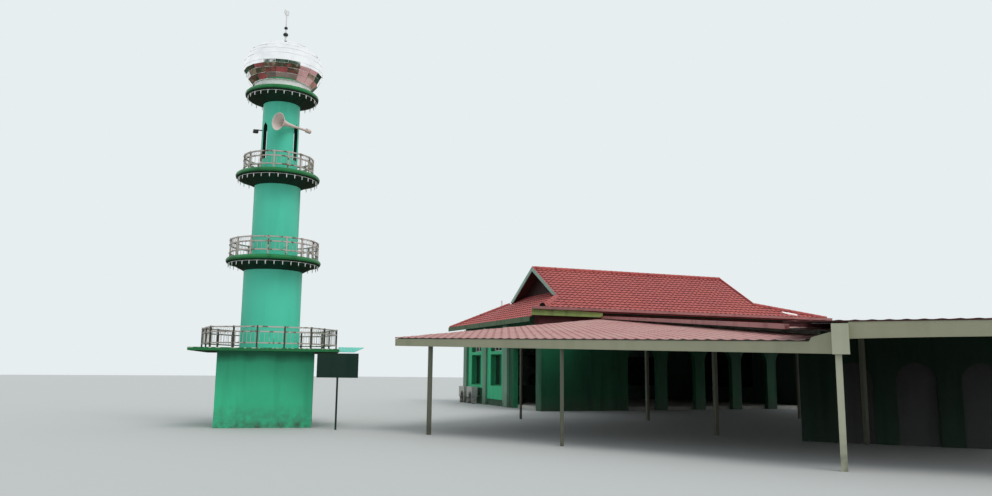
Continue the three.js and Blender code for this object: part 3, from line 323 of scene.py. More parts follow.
PAINTS = (
    ("mint_wall", (82, 214, 180), (64, 180, 146), 0.5, 0.06, 0.3),
    # The base's wall carries painted shade below the slab's edge, the ledge at 2.31 m.
    ("green_wall", (58, 198, 146), (36, 130, 94), 0.55, 0.09, 0.4, 0.0, 0.004, 2.31),
    ("surround_green", (46, 190, 132), (32, 140, 96), 0.5, 0.06, 0.3),
    ("reveal_green", (38, 138, 92), (20, 84, 56), 0.6),
    ("rim_green", (12, 116, 58), (8, 66, 36), 0.4, 0.12, 0.5),
    ("slab_top_green", (40, 112, 76), (30, 78, 54), 0.75, 0.2, 0.4),
    # Painted shade: soffits, the shafts' insides and openings, and the arcade under the canopy.
    ("soffit_green", (6, 48, 30), (4, 28, 20), 0.7, 0.15, 0.3),
    ("deep_green", (14, 88, 58), (7, 44, 30), 0.65, 0.12, 0.5, 0.0),
    ("pilaster_green", (110, 150, 126), (72, 104, 86), 0.65, 0.1, 0.4, 0.0),
    ("white_wash", (250, 250, 246), (190, 186, 172), 0.6, 0.05, 0.3),
    # Painted shade: the rooms' walls are darkened to a dim grey-green.
    ("inner_wall", (84, 108, 94), (56, 74, 64), 0.7),
    ("maroon_boards", (44, 17, 20), (26, 12, 14), 0.75, 0.2, 0.5),
    ("pale_boards", (146, 180, 164), (96, 122, 110), 0.65, 0.08, 0.5),
    ("lime_boards", (150, 170, 96), (104, 100, 66), 0.65, 0.12, 0.6),
    ("olive_boards", (82, 104, 74), (40, 58, 42), 0.65, 0.1, 0.4),
    ("red_boards", (112, 50, 52), (60, 28, 30), 0.7, 0.12, 0.5),
    ("gutter_pink", (164, 110, 108), (104, 66, 64), 0.45, 0.12, 0.6),
    ("beige_board", (154, 154, 128), (120, 122, 100), 0.6, 0.05, 0.25),
    ("beige_steel", (104, 106, 90), (66, 64, 52), 0.5, 0.1, 0.5, 0.0),
    ("box_beige", (176, 178, 154), (128, 128, 106), 0.55, 0.06, 0.4, 0.0),
    ("post_brown", (74, 66, 54), (50, 42, 34), 0.5, 0.1, 0.4),
    ("horn_cream", (226, 210, 200), (176, 156, 146), 0.4, 0.05, 0.3),
    ("unit_white", (186, 188, 180), (126, 126, 114), 0.5, 0.06, 0.5, 0.2),
    # Dark metal, and also the darkest painted shade in the arches' backs.
    ("dark_metal", (44, 50, 50), (24, 26, 26), 0.45, 0.1, 0.2),
    ("board_green", (4, 46, 34), (4, 32, 26), 0.7, 0.06, 0.25),
    ("aluminium", (224, 226, 222), (176, 178, 172), 0.4, 0.05, 0.3),
    ("cement", (188, 168, 158), (128, 104, 98), 0.85, 0.15, 0.5, None, 0.01),
    # Painted shade inside a hollow cap's end.
    ("hollow_dark", (20, 12, 12), (12, 8, 8), 0.9, 0.1, 0.2),
    ("pink_mortar", (176, 108, 102), (120, 66, 62), 0.85, 0.15, 0.5, None, 0.01),
)
for row in PAINTS:
    paint(*row)
print("paints", len(PAINTS))

# %% [markdown]
# The railings are thin painted steel, and in this climate the paint lifts and rust shows
# through it in small patches. Noise above a mark is rust, the rest is paint, and the rust is
# rougher. Glass is dark and a little dusty. The dome's sheet steel is wavy between its screws,
# and duller where rain has dried on it.

# %% Finishes: rails, glass and mirror
finish = Finish("railing_paint", 0.5)
rusty = finish.between(finish.noise(7, 5), 0.53, 0.62)
pale = finish.mix(finish.noise(1.2, 3), (158, 154, 142), (204, 190, 184))
finish.rough(rusty, 0.4, 0.9)
finish.bump(finish.noise(90, 2), 0.001)
rust = finish.math("MULTIPLY", rusty, 0.85)
finish.done(finish.mix(rust, pale, (96, 74, 58)))

finish = Finish("window_glass", 0.08)
dusty = finish.between(finish.noise(3, 4), 0.4, 0.8)
finish.rough(dusty, 0.05, 0.22)
finish.done(finish.mix(dusty, (18, 30, 28), (40, 54, 50)))

finish = Finish("mirror_panels", 0.06, 1.0)
film = finish.between(finish.noise(2.2, 5), 0.42, 0.8)
finish.rough(film, 0.045, 0.16)
finish.bump(finish.noise(2.4, 1), 0.006)
finish.done(finish.mix(film, (250, 252, 254), (228, 232, 236)))
print("rails, glass and mirror made")

# %% [markdown]
# Red roofing is never one red: each sheet or tile left the factory a little lighter or darker,
# and rain washes dust into the troughs. The tile pattern itself is modelled, so the finish only
# needs the patchy colour. The canopies' sheets are older, and bleached to pink.

# %% Finishes: roofing and concrete
RIB = 0.27


def roofing(name, colour, bleached, dirt, wear, lap_axis=None):
    """Patchy roofing. Where sheets lap along an axis, a dark line shows every four ribs."""
    finish = Finish(name, 0.62)
    tiles = finish.noise(3.6, 1)
    clouds = finish.between(finish.noise(0.4, 5), 0.36, 0.68)
    base = finish.mix(finish.between(tiles, 0.3, 0.7), shaded(colour, 0.88), shaded(colour, 1.1))
    base = finish.mix(finish.math("MULTIPLY", clouds, wear), base, bleached)
    dust = finish.between(finish.noise(9, 6), 0.52, 0.8)
    base = finish.mix(finish.math("MULTIPLY", dust, 0.55), base, dirt)
    if lap_axis:
        along = finish.math("FRACT", finish.math("DIVIDE", finish.axes[lap_axis], 4 * RIB))
        line = finish.math("MULTIPLY", finish.between(along, 0.93, 0.97), 0.7)
        base = finish.mix(line, base, dirt)
    finish.rough(clouds, 0.5, 0.85)
    finish.bump(finish.noise(45, 3), 0.003)
    finish.done(base)


TILE_RED = ((168, 74, 70), (188, 108, 100), (86, 36, 36), 0.5)
roofing("tile_red", *TILE_RED, lap_axis="X")
roofing("end_tile_red", *TILE_RED, lap_axis="Y")
# Painted shade for the roofing's undersides, lips and rib ends: dark red under tiles, dark grey
# under sheets.
paint("painted_shade_red", (66, 27, 28), (38, 17, 17), 0.8, 0.15, 0.3)
roofing("sheet_pink", (168, 113, 109), (182, 148, 141), (124, 80, 78), 0.8)
paint("painted_shade_grey", (62, 62, 58), (40, 38, 36), 0.7, 0.1, 0.3)
roofing("sheet_turquoise", (56, 186, 166), (150, 210, 196), (60, 110, 100), 0.6)

finish = Finish("trowelled", 0.85)
damp = finish.between(finish.noise(2.5, 5), 0.5, 0.75)
base = finish.mix(finish.noise(0.8, 6), (166, 166, 158), (192, 192, 184))
finish.bump(finish.noise(30, 4), 0.003)
finish.done(finish.mix(damp, base, (140, 138, 128)))
print("finishes", len(FINISHES))

# %% [markdown]
# The imported solids are faceted, with their places in their meshes. Small helpers start new
# shapes from the simplest operator, and `finished` turns a bmesh into a piece: it turns the
# faces outwards, marks the sharp edges, gives it finishes by their names, attaches it to the body
# it rides on, and hides the solids it stands for.

# %% Helpers for shapes
UP = Vector((0, 0, 1))
SMOOTH_BELOW = math.radians(38)


def finished(name, bm, finishes, stands_for=(), outwards=True):
    """Makes a piece of a bmesh. Its place is in its mesh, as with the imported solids."""
    if outwards:
        bmesh.ops.recalc_face_normals(bm, faces=bm.faces)
    for face in bm.faces:
        face.smooth = True
    for edge in bm.edges:
        edge.smooth = len(edge.link_faces) == 2 and edge.calc_face_angle(0) < SMOOTH_BELOW
    mesh = bpy.data.meshes.new(name)
    bm.to_mesh(mesh)
    bm.free()
    for wanted in finishes:
        mesh.materials.append(FINISHES[wanted])
    piece = bpy.data.objects.new(name, mesh)
    bpy.context.scene.collection.objects.link(piece)
    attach(piece, "root")
    if stands_for:
        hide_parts(*stands_for)
    print(name, len(mesh.polygons), "faces")
    return piece


def block(bm, low, high, turn=Matrix.Identity(4)):
    """An upright block between two corners."""
    low = Vector(low)
    high = Vector(high)
    place = turn @ Matrix.Translation((low + high) / 2) @ Matrix.Diagonal((*(high - low), 1))
    bmesh.ops.create_cube(bm, size=1, matrix=place)


def rod(bm, start, end, radius, sides=8, end_radius=None):
    """A round bar between two points, tapered if it has an end radius."""
    start = Vector(start)
    end = Vector(end)
    along = end - start
    turn = along.to_track_quat("Z", "Y").to_matrix().to_4x4()
    bmesh.ops.create_cone(
        bm, cap_ends=True, segments=sides, radius1=radius,
        radius2=radius if end_radius is None else end_radius,
        depth=along.length, matrix=Matrix.Translation((start + end) / 2) @ turn)


def turned(bm, outline, steps, centre=Vector((0, 0, 0))):
    """Spins a closed outline of (radius, height) points round an upright axis."""
    loop = [bm.verts.new((centre.x + radius, centre.y, z)) for radius, z in outline]
    edges = [bm.edges.new((vert, loop[i - 1])) for i, vert in enumerate(loop)]
    bmesh.ops.spin(
        bm, geom=loop + edges, cent=(centre.x, centre.y, 0), axis=UP,
        angle=2 * math.pi, steps=steps, use_merge=True)


def small_shape(name, build):
    """A small mesh that is stamped many times."""
    bm = bmesh.new()
    build(bm)
    mesh = bpy.data.meshes.new(name)
    bm.to_mesh(mesh)
    bm.free()
    return mesh


def stamp(bm, shape, place):
    """Adds a copy of a small shape at a place."""
    copy = shape.copy()
    copy.transform(place)
    bm.from_mesh(copy)
    bpy.data.meshes.remove(copy)


def solid_copy(node):
    """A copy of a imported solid, with its loose triangles joined."""
    bm = bmesh.new()
    bm.from_mesh(nodes[node].data)
    bmesh.ops.remove_doubles(bm, verts=bm.verts, dist=1e-5)
    return bm


def repaint(wanted, *names):
    """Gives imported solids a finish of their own."""
    for name in names:
        nodes[name].data.materials.clear()
        nodes[name].data.materials.append(FINISHES[wanted])


# %% [markdown]
# The minaret's shafts and galleries are right in the imported model but faceted. A copy of each is
# merged and its shallow edges are marked smooth, so light runs round it as it does on plaster.
# The galleries have a bright painted rim, and their soffits take painted shade, a much darker
# green, so their faces take one of two paints by the way they face.

# %% Minaret: shafts, galleries and drum
TOWER = Vector((-20.185, -11.08, 0))
TOWER_TURN = math.radians(-9)


def zoned_copy(name, finishes, zone, new_name=None):
    """A smooth copy of a solid whose faces pick a paint by place and direction."""
    bm = solid_copy(name)
    bm.normal_update()
    for face in bm.faces:
        face.material_index = zone(face.calc_center_median(), face.normal)
    finished(new_name or name + "_plaster", bm, finishes, [name], outwards=False)


def whole(centre, normal):
    """Every face takes the first paint."""
    return 0


def gallery_zone(centre, normal):
    """The rim and the top take the green paint, the soffit takes painted shade."""
    return int(normal.z < -0.35)


def shaft_zone(centre, normal):
    """Painted shade inside the shaft and in its openings."""
    out = Vector((centre.x - TOWER.x, centre.y - TOWER.y, 0))
    return 0 if normal.dot(out.normalized()) > 0.7 else 1


for part in ("lower", "middle", "upper"):
    zoned_copy(f"minaret_{part}_shaft", ["mint_wall", "soffit_green"], shaft_zone)

for gallery in ("lower_balcony", "upper_balcony", "minaret_cornice"):
    zoned_copy(gallery, ["rim_green", "soffit_green"], gallery_zone)
zoned_copy("dome_drum", ["white_wash"], whole)

# %% [markdown]
# The base is a square room under a projecting slab. Its slab edge has lost paint where people
# lean and rain runs, so the edge gets chips: noise above a mark, only near the top.

# %% Minaret: base
SLAB_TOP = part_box("minaret_base_slab")[1].z
INNER_HALF = 1.4

finish = Finish("chipped_slab", 0.5)
base = finish.mix(finish.noise(1.5, 4), (8, 96, 48), (16, 124, 66))
near_top = finish.between(finish.axes["Z"], SLAB_TOP - 0.035, SLAB_TOP - 0.008)
chips = finish.between(finish.noise(11, 5), 0.52, 0.58)
finish.bump(finish.noise(40, 3), 0.003)
chipped = finish.math("MULTIPLY", near_top, chips)
finish.done(finish.mix(chipped, base, (198, 206, 190)))


def base_zone(centre, normal):
    """Green outside, and in the room a dim grey-green of painted shade."""
    local = Matrix.Rotation(-TOWER_TURN, 3, "Z") @ (centre - TOWER)
    return 0 if max(abs(local.x), abs(local.y)) > INNER_HALF else 1


def slab_zone(centre, normal):
    """Chips on the edge only: the soffit gets painted shade and the walked-on top is plain."""
    if abs(normal.z) < 0.5:
        return 0
    return 1 if normal.z < 0 else 2


zoned_copy("minaret_base_walls", ["green_wall", "inner_wall"], base_zone)
slab_paints = ["chipped_slab", "soffit_green", "slab_top_green"]
zoned_copy("minaret_base_slab", slab_paints, slab_zone)

# %% [markdown]
# The dome is clad in polished steel sheets, twenty gores round and a dozen rows high, each sheet
# nearly flat. Flat sheets break the reflection into steps, and that is what the eye knows the
# dome by. So its profile is spun in twenty steps, each face is inset for the joint, and each
# inner face is tipped by up to two degrees. The tips are random but seeded, and the sheets are
# sorted first, so every run gives the same dome.

# %% Minaret: mirrored dome
GORES = 20
dome_low, dome_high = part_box("minaret_dome")
DOME_R = 1.326
DOME_FOOT_R = 1.0
DOME_WAIST_Z = 11.85
DOME_TUCK = 0.62
DOME_SHEET = 0.03
UPPER_ROWS = 8
UPPER_END = 88
SHOULDER = 0.85
LOWEST_ANGLE = 35
LOWER_ANGLES = (-22, -10)
JOINT = 0.004
TIP = math.radians(2.0)
TIP_SEED = 20


def dome_outline():
    """Radius and height of the sheets' edges, from the foot up to the eye."""
    foot = dome_low.z
    points = [(DOME_FOOT_R, foot), (DOME_FOOT_R + 0.15, foot + 0.17)]
    tuck = DOME_TUCK * (DOME_WAIST_Z - foot) / math.sin(math.radians(LOWEST_ANGLE))
    for degrees in LOWER_ANGLES:
        turn = math.radians(degrees)
        points.append((DOME_R * math.cos(turn), DOME_WAIST_Z + tuck * math.sin(turn)))
    rise = dome_high.z - DOME_WAIST_Z
    for row in range(UPPER_ROWS + 1):
        turn = math.radians(UPPER_END * row / UPPER_ROWS)
        radius = DOME_R * math.cos(turn) ** SHOULDER
        points.append((radius, DOME_WAIST_Z + rise * math.sin(turn) ** SHOULDER))
    return points


def sheet_place(face):
    """Gore, then height, so that the seeded tips always fall on the same sheets."""
    centre = face.calc_center_median() - TOWER
    return math.floor(math.atan2(centre.y, centre.x) / (2 * math.pi / GORES)), centre.z


def mirrored_dome():
    """The outline and its inner wall, spun, with a joint round every sheet."""
    bm = bmesh.new()
    outline = dome_outline()
    rim = [(0.9, dome_low.z + 0.03), (0.9, dome_low.z + 0.001)]
    inner = [(radius - DOME_SHEET, z - 0.02) for radius, z in outline[:0:-1]]
    turned(bm, outline + inner + rim, GORES, TOWER)
    bmesh.ops.recalc_face_normals(bm, faces=bm.faces)
    bm.normal_update()
    chance = random.Random(TIP_SEED)
    sheets = []
    for face in bm.faces:
        centre = face.calc_center_median()
        out = Vector((centre.x - TOWER.x, centre.y - TOWER.y, 0.35 * (centre.z - DOME_WAIST_Z)))
        above_foot = centre.z > dome_low.z + 0.05
        if face.normal.dot(out.normalized()) > 0.2 and out.xy.length > 0.05 and above_foot:
            sheets.append(face)
    sheets.sort(key=sheet_place)
    bmesh.ops.inset_individual(
        bm, faces=sheets, thickness=JOINT, depth=-0.004, use_even_offset=True)
    for face in sheets:
        centre = face.calc_center_median()
        axis = Vector([chance.uniform(-1, 1) for _ in range(3)]).normalized()
        tip = Matrix.Rotation(chance.uniform(-TIP, TIP), 3, axis)
        bmesh.ops.rotate(bm, cent=centre, matrix=tip, verts=face.verts)
    return finished("mirrored_dome", bm, ["mirror_panels"], ["minaret_dome"])


dome = mirrored_dome()
for polygon in dome.data.polygons:
    polygon.use_smooth = False

# %% [markdown]
# The finial is a thin pipe with two flattened balls, a crescent and a star. A smooth copy of the
# imported solid takes a dark finish for the balls, a painted reflection of the dark ground, and
# a pale one for the rest.

# %% Minaret: finial
BALL_R = 0.03
BALLS_TOP = 13.6


def finial_zone(centre, normal):
    """The balls are wider than the pipe and sit below the crescent."""
    return int((centre - TOWER).xy.length > BALL_R and centre.z < BALLS_TOP)


# The balls' dark finish is a painted reflection of the dark ground below them.
zoned_copy("dome_finial", ["aluminium", "dark_metal"], finial_zone, "finial")

# %% [markdown]
# Each gallery has a guard rail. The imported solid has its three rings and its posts. The thin
# bars between the rings, and the row of hoops under the hand rail, are far too many for solids,
# so they are stamped here as one mesh per railing. A hoop is a narrow band bent to a ring.

# %% Minaret: railings
RAIL_BARS = 0.13
HOOP_R = 0.045
WIRE = 0.007
LOW_RING_UP = 0.15
MIDDLE_RING_DOWN = 0.17
HOOPS_DOWN = 0.095
HAND_RAIL_DOWN = 0.02
RING_HALF = 0.022


def octagon_reach(radius, angle, first, sides):
    """How far the middle of a straight-sided ring lies from the axis at an angle."""
    step = 2 * math.pi / sides
    share = ((angle - first) % step) / step
    return radius * math.cos(step / 2) / math.cos((share - 0.5) * step)


def hoop_shape(bm):
    """A small upright hoop of narrow band, facing along X."""
    upright = Matrix.Rotation(math.pi / 2, 4, "Y") @ Matrix.Rotation(math.pi / 2, 4, "X")
    made = bmesh.ops.create_circle(
        bm, segments=4, radius=WIRE, cap_ends=False,
        matrix=Matrix.Translation((0, HOOP_R, 0)) @ upright)
    edges = list({edge for vert in made["verts"] for edge in vert.link_edges})
    bmesh.ops.spin(
        bm, geom=made["verts"] + edges, cent=(0, 0, 0), axis=(1, 0, 0),
        angle=2 * math.pi, steps=12, use_merge=True)


hoop = small_shape("hoop", hoop_shape)


def rail_bars(name, radius, floor, top, sides, first_degrees):
    """Bars from the lower ring to the middle one, and hoops between the upper two."""
    bm = bmesh.new()
    first = math.radians(first_degrees)
    count = round(2 * math.pi * radius / RAIL_BARS / 16) * 16
    for index in range(count):
        angle = first + 2 * math.pi * (index + 0.5) / count
        reach = octagon_reach(radius, angle, first, sides)
        out = Vector((math.cos(angle), math.sin(angle), 0))
        foot = TOWER + out * reach
        lower = foot + UP * (floor + LOW_RING_UP - 0.01)
        rod(bm, lower, foot + UP * (top - MIDDLE_RING_DOWN), WIRE, 6)
        seat = Matrix.Translation(foot + UP * (top - HOOPS_DOWN))
        stamp(bm, hoop, seat @ Matrix.Rotation(angle, 4, "Z"))
    finished(name, bm, ["railing_paint"])


RAILINGS = (
    ("base_railing", 2.15, SLAB_TOP, 3.07, 8, 254.5),
    ("lower_railing", 1.42, 5.362, 5.95, 32, 256.5),
    ("upper_railing", 1.134, 8.217, 8.81, 32, 256.5),
)


def post_zone(floor, top):
    """Posts show between the three rings."""
    rings = (floor + LOW_RING_UP, top - MIDDLE_RING_DOWN, top - HAND_RAIL_DOWN)
    return lambda centre, normal: int(min(abs(centre.z - z) for z in rings) >= RING_HALF)


for node, radius, floor, top, sides, first_degrees in RAILINGS:
    rail_bars(node + "_bars", radius, floor, top, sides, first_degrees)
    posts = "post_brown" if node == "base_railing" else "railing_paint"
    paints = ["railing_paint", posts]
    zoned_copy(node, paints, post_zone(floor, top), node + "_rings")

# %% [markdown]
# A string of lamp drops hangs under each rim. Seen from the street they are short pale ticks
# against the dark soffit. One drop is modelled, a cap and a tapering glass rod, and stamped
# about thirty times along a thin ring of cable.

# %% Minaret: strings of lamp drops
DROP_LENGTH = 0.12
CABLE = 0.005
STRING_IN = 0.085
STRING_DOWN = 0.1


def drop_shape(bm):
    rod(bm, (0, 0, 0.0), (0, 0, -0.03), 0.011, 6)
    rod(bm, (0, 0, -0.03), (0, 0, -DROP_LENGTH), 0.016, 6, 0.008)
    rod(bm, (0, 0, -0.006), (0, 0.05, -0.006), 0.006, 6)


drop = small_shape("drop", drop_shape)


def lamp_string(name, rim_radius, rim_z, drops):
    """Hung on a cable against the rim's underside."""
    bm = bmesh.new()
    radius = rim_radius - STRING_IN
    z = rim_z - STRING_DOWN
    for index in range(drops):
        angle = 2 * math.pi * index / drops
        place = Matrix.Translation((TOWER.x, TOWER.y, z)) @ Matrix.Rotation(angle, 4, "Z")
        stamp(bm, drop, place @ Matrix.Translation((radius, 0, 0)))
    inner, outer = radius - CABLE, radius + CABLE
    bottom, top = z - CABLE, z + 0.8 * CABLE
    turned(bm, [(inner, bottom), (outer, bottom), (outer, top), (inner, top)], 64, TOWER)
    finished(name, bm, ["white_wash"])


lamp_string("lower_rim_lamps", 1.527, 5.262, 34)
lamp_string("upper_rim_lamps", 1.376, 8.117, 30)
lamp_string("cornice_lamps", 1.22, 10.958, 27)

# %% [markdown]
# The horn speaker is a folded horn: the wide bell faces the street, and inside it a smaller bell
# points back at the mouth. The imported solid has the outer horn, so only the inner bell and the
# rim bead are added.

# %% Minaret: horn speaker and shaft lamp
HORN_MOUTH = TOWER + Vector((-0.199, -1.018, 9.81))
HORN_BACK = TOWER + Vector((0.955, -0.196, 9.82))
BEAD = [(0.285, -0.012), (0.299, -0.012), (0.299, -0.001), (0.285, -0.001)]
BELL = [(0.0, -0.26), (0.05, -0.26), (0.075, -0.18), (0.062, -0.175), (0.04, -0.245), (0.0, -0.245)]

horn = bmesh.new()
turned(horn, BEAD, 48)
turned(horn, BELL, 32)
bmesh.ops.remove_doubles(horn, verts=horn.verts, dist=1e-5)
outwards = (HORN_MOUTH - HORN_BACK).to_track_quat("Z", "Y").to_matrix().to_4x4()
bmesh.ops.transform(horn, matrix=Matrix.Translation(HORN_MOUTH) @ outwards, verts=horn.verts)
finished("horn_rim_and_bell", horn, ["horn_cream"])
zoned_copy("horn_speaker", ["horn_cream"], whole, "horn")
repaint("dark_metal", "shaft_lamp")

# %% [markdown]
# Profiled roofing is a sheet or a field of tiles with two rhythms: ribs across the slope and a
# step down at every course. A grid has both. It is laid in the slope's own directions, its rows
# come in pairs so that each course ends in a lip, and its columns are raised by a wave. Then it
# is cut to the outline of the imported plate, and its edge is drawn down to the plate's underside,
# which closes it.

# %% Profiled roofing: the outline of a plate


def top_face(node):
    """The outline of a plate's top, in order, and its height as a function of X and Y."""
    bm = solid_copy(node)
    bm.normal_update()
    tops = [face for face in bm.faces if face.normal.z > 0.3]
    face = max(tops, key=lambda candidate: candidate.calc_area())
    normal = face.normal.copy()
    point = face.verts[0].co.copy()
    top = bmesh.ops.dissolve_faces(bm, faces=tops)["region"][0]
    outline = [vert.co.copy() for vert in top.verts]
    bm.free()
    corners = [corner for i, corner in enumerate(outline)
               if not straight(outline[i - 1], corner, outline[(i + 1) % len(outline)])]

    def height_at(x, y):
        return point.z - (normal.x * (x - point.x) + normal.y * (y - point.y)) / normal.z

    return corners, height_at


def straight(before, here, after):
    """True where an outline runs straight through a point."""
    return (here - before).xy.normalized().dot((after - here).xy.normalized()) > 0.99999


def inside(outline, x, y):
    """True if a plan point lies inside an outline."""
    odd = False
    for i, corner in enumerate(outline):
        last = outline[i - 1]
        if (corner.y > y) != (last.y > y):
            if x < (last.x - corner.x) * (y - corner.y) / (last.y - corner.y) + corner.x:
                odd = not odd
    return odd


print("front slope corners", len(top_face("roof_front")[0]))

# %% [markdown]
# The grid has eight columns to a rib. Its rows come in pairs, so a course ends in a near upright
# lip, a few millimetres deep in plan. Faces that look sideways or down take the last material,
# which is painted shade: the open ends of the ribs at the eaves, the undersides, and for the
# hall's tiles every lip.

# %% Profiled roofing: the ribbed grid
RIB_STEPS = 8
UPRIGHT = 0.25
LIP_LEAN = 0.003


def rib_height(share, sharpness):
    """A rounded rib: 0 at its crest and -1 in the trough."""
    crest = 0.5 + 0.5 * math.cos(2 * math.pi * share)
    return crest ** sharpness - 1


def profiled_slope(name, node, down, rib, course, depth, lip, thickness, finishes, slot,
                   sharpness=0.7, lips_in_painted_shade=False):
    """A field of ribbed courses over a packed plate. Down is the plan direction of the ribs."""
    outline, height_at = top_face(node)
    down = Vector(down).normalized()
    across = Vector((-down.y, down.x))
    plan = [Vector((corner.x, corner.y)) for corner in outline]
    centre = sum(plan, Vector((0, 0))) / len(plan)
    reach_across = [across.dot(point - centre) for point in plan]
    reach_down = [down.dot(point - centre) for point in plan]
    ribs = math.ceil((max(reach_across) - min(reach_across)) / rib) + 1
    courses = math.ceil((max(reach_down) - min(reach_down)) / course) + 1
    columns = ribs * RIB_STEPS
    rows = 2 * courses - 1
    bm = bmesh.new()
    bmesh.ops.create_grid(bm, x_segments=columns, y_segments=rows, size=0.5)
    for vert in bm.verts:
        column = round((vert.co.x + 0.5) * columns)
        row = round((vert.co.y + 0.5) * rows)
        low_end = row % 2
        along = (row // 2 + low_end) * course
        if row and not low_end:
            along += LIP_LEAN
        u = min(reach_across) - rib / 2 + rib * column / RIB_STEPS
        v = min(reach_down) + along
        point = centre + across * u + down * v
        rise = depth * rib_height(column / RIB_STEPS, sharpness) - (0 if low_end else lip)
        vert.co = (point.x, point.y, height_at(point.x, point.y) + rise)
    for i, corner in enumerate(plan):
        side = corner - plan[i - 1]
        bmesh.ops.bisect_plane(
            bm, geom=bm.verts[:] + bm.edges[:] + bm.faces[:], dist=1e-5,
            plane_co=(corner.x, corner.y, 0), plane_no=(side.y, -side.x, 0))
    outer = [face for face in bm.faces if not inside(plan, *face.calc_center_median().xy)]
    bmesh.ops.delete(bm, geom=outer, context="FACES")
    rim = [edge for edge in bm.edges if len(edge.link_faces) == 1]
    skirt = bmesh.ops.extrude_edge_only(bm, edges=rim)["geom"]
    for vert in (item for item in skirt if isinstance(item, bmesh.types.BMVert)):
        vert.co.z = height_at(vert.co.x, vert.co.y) - thickness
    drawn = [item for item in skirt if isinstance(item, bmesh.types.BMEdge)]
    lower = [edge for edge in drawn if len(edge.link_faces) == 1]
    bmesh.ops.edgeloop_fill(bm, edges=lower)
    bmesh.ops.recalc_face_normals(bm, faces=bm.faces)
    bm.normal_update()
    sides = {item for item in skirt if isinstance(item, bmesh.types.BMFace)}
    for face in bm.faces:
        # Painted shade on lips, undersides and the cut ends of the ribs.
        dark_lip = lips_in_painted_shade and face.normal.z < UPRIGHT
        dark = dark_lip or face in sides or face.normal.z < 0
        face.material_index = len(finishes) - 1 if dark else 0
    finished(name, bm, finishes, [node])


# %% [markdown]
# The hall's tiles have courses of 0.28 m and ribs of nearly the same pitch. The ribs run down each
# slope, so every slope names its own direction.

# %% Profiled roofing: the hall's slopes
TILE = dict(rib=RIB, depth=0.038, lip=0.034, thickness=0.1, slot="roof_tile", lips_in_painted_shade=True)
COURSE = 0.28


def course_in_plan(node):
    """A course's length seen from above, which is shorter on a steeper slope."""
    outline, height_at = top_face(node)
    rise = Vector((height_at(1, 0) - height_at(0, 0), height_at(0, 1) - height_at(0, 0)))
    return COURSE * math.cos(math.atan(rise.length))


SLOPES = (
    ("front_tiles", "roof_front", (0, -1)),
    ("back_upper_tiles", "roof_back_upper", (0, 1)),
    ("back_lower_tiles", "roof_back_lower", (0, 1)),
    ("left_end_tiles", "roof_left_end", (-1, 0)),
    ("right_end_tiles", "roof_right_end", (1, 0)),
)
for name, node, down in SLOPES:
    reds = ["end_tile_red" if down[0] else "tile_red", "painted_shade_red"]
    profiled_slope(name, node, down, course=course_in_plan(node), finishes=reds, **TILE)

# %% [markdown]
# The canopies carry long metal sheets pressed to look like tiles, with wider ribs. Seen from the
# street, their cut ends make a row of scallops above the fascia board. Each names the way its
# sheets fall. The left one falls to the road, and the right one against `DEEP`, which points from
# the street into the yard.

# %% Profiled roofing: the canopies
LEFT_A = Vector((-16.95, -14.9))
LEFT_B = Vector((-11.27, -25.6))
road_line = (LEFT_B - LEFT_A).normalized()
to_road = Vector((road_line.y, -road_line.x))
DEEP = Vector((0.722, 0.692))
SHEET = dict(rib=0.295, depth=0.02, lip=0.01, thickness=0.04, slot="canopy_sheet",
             finishes=["sheet_pink", "painted_shade_grey"], sharpness=1.8)

profiled_slope("left_canopy_sheets", "left_canopy_roof", to_road, course=0.35, **SHEET)
profiled_slope("forecourt_sheets", "forecourt_roof", (0, -1), course=0.38, **SHEET)
RIGHT_SHEET = dict(SHEET, depth=0.014, lip=0.006, finishes=["sheet_pink", "painted_shade_red"])
profiled_slope("right_canopy_sheets", "right_canopy_roof", -DEEP, course=0.35, **RIGHT_SHEET)

# %% [markdown]
# Ridge and hips are capped with half-round tiles bedded in mortar, each lapping the next. One
# cap is a tapered cone cut in half, and it is stamped along each line.

# %% One cap and a row of caps
CAP_LENGTH = 0.36
CAP_R = 0.11
CAP_SEAT = -0.045


def plain_cap_shape(bm):
    """A half-round cap along X, closed at both ends."""
    bmesh.ops.create_cone(
        bm, cap_ends=True, segments=20, radius1=0.88 * CAP_R, radius2=CAP_R, depth=CAP_LENGTH,
        matrix=Matrix.Translation((CAP_LENGTH / 2, 0, 0)) @ Matrix.Rotation(math.pi / 2, 4, "Y"))
    cut = bmesh.ops.bisect_plane(
        bm, geom=bm.verts[:] + bm.edges[:] + bm.faces[:], plane_co=(0, 0, CAP_SEAT),
        plane_no=(0, 0, -1), clear_outer=True)["geom_cut"]
    rim = [item for item in cut if isinstance(item, bmesh.types.BMEdge)]
    bmesh.ops.edgeloop_fill(bm, edges=rim)


plain_cap = small_shape("plain_cap", plain_cap_shape)


def cap_row(bm, start, end):
    """Lapping caps from the upper point to the lower one."""
    start = Vector(start)
    along = Vector(end) - start
    count = round(along.length / (0.9 * CAP_LENGTH))
    step = (along.length - CAP_LENGTH) / max(1, count - 1)
    heading = Matrix.Rotation(math.atan2(along.y, along.x), 4, "Z")
    pitch = Matrix.Rotation(-math.asin(along.z / along.length), 4, "Y")
    for index in range(count):
        seat = Matrix.Translation(start + along.normalized() * step * index)
        stamp(bm, plain_cap, seat @ heading @ pitch)


print("faces in a cap", len(plain_cap.polygons))

# %% [markdown]
# The ridge runs between the gablets. The hips start at the gablets' feet and end at the corners
# of the eaves, so their places come from the slopes' boxes, and their heights from the slopes.

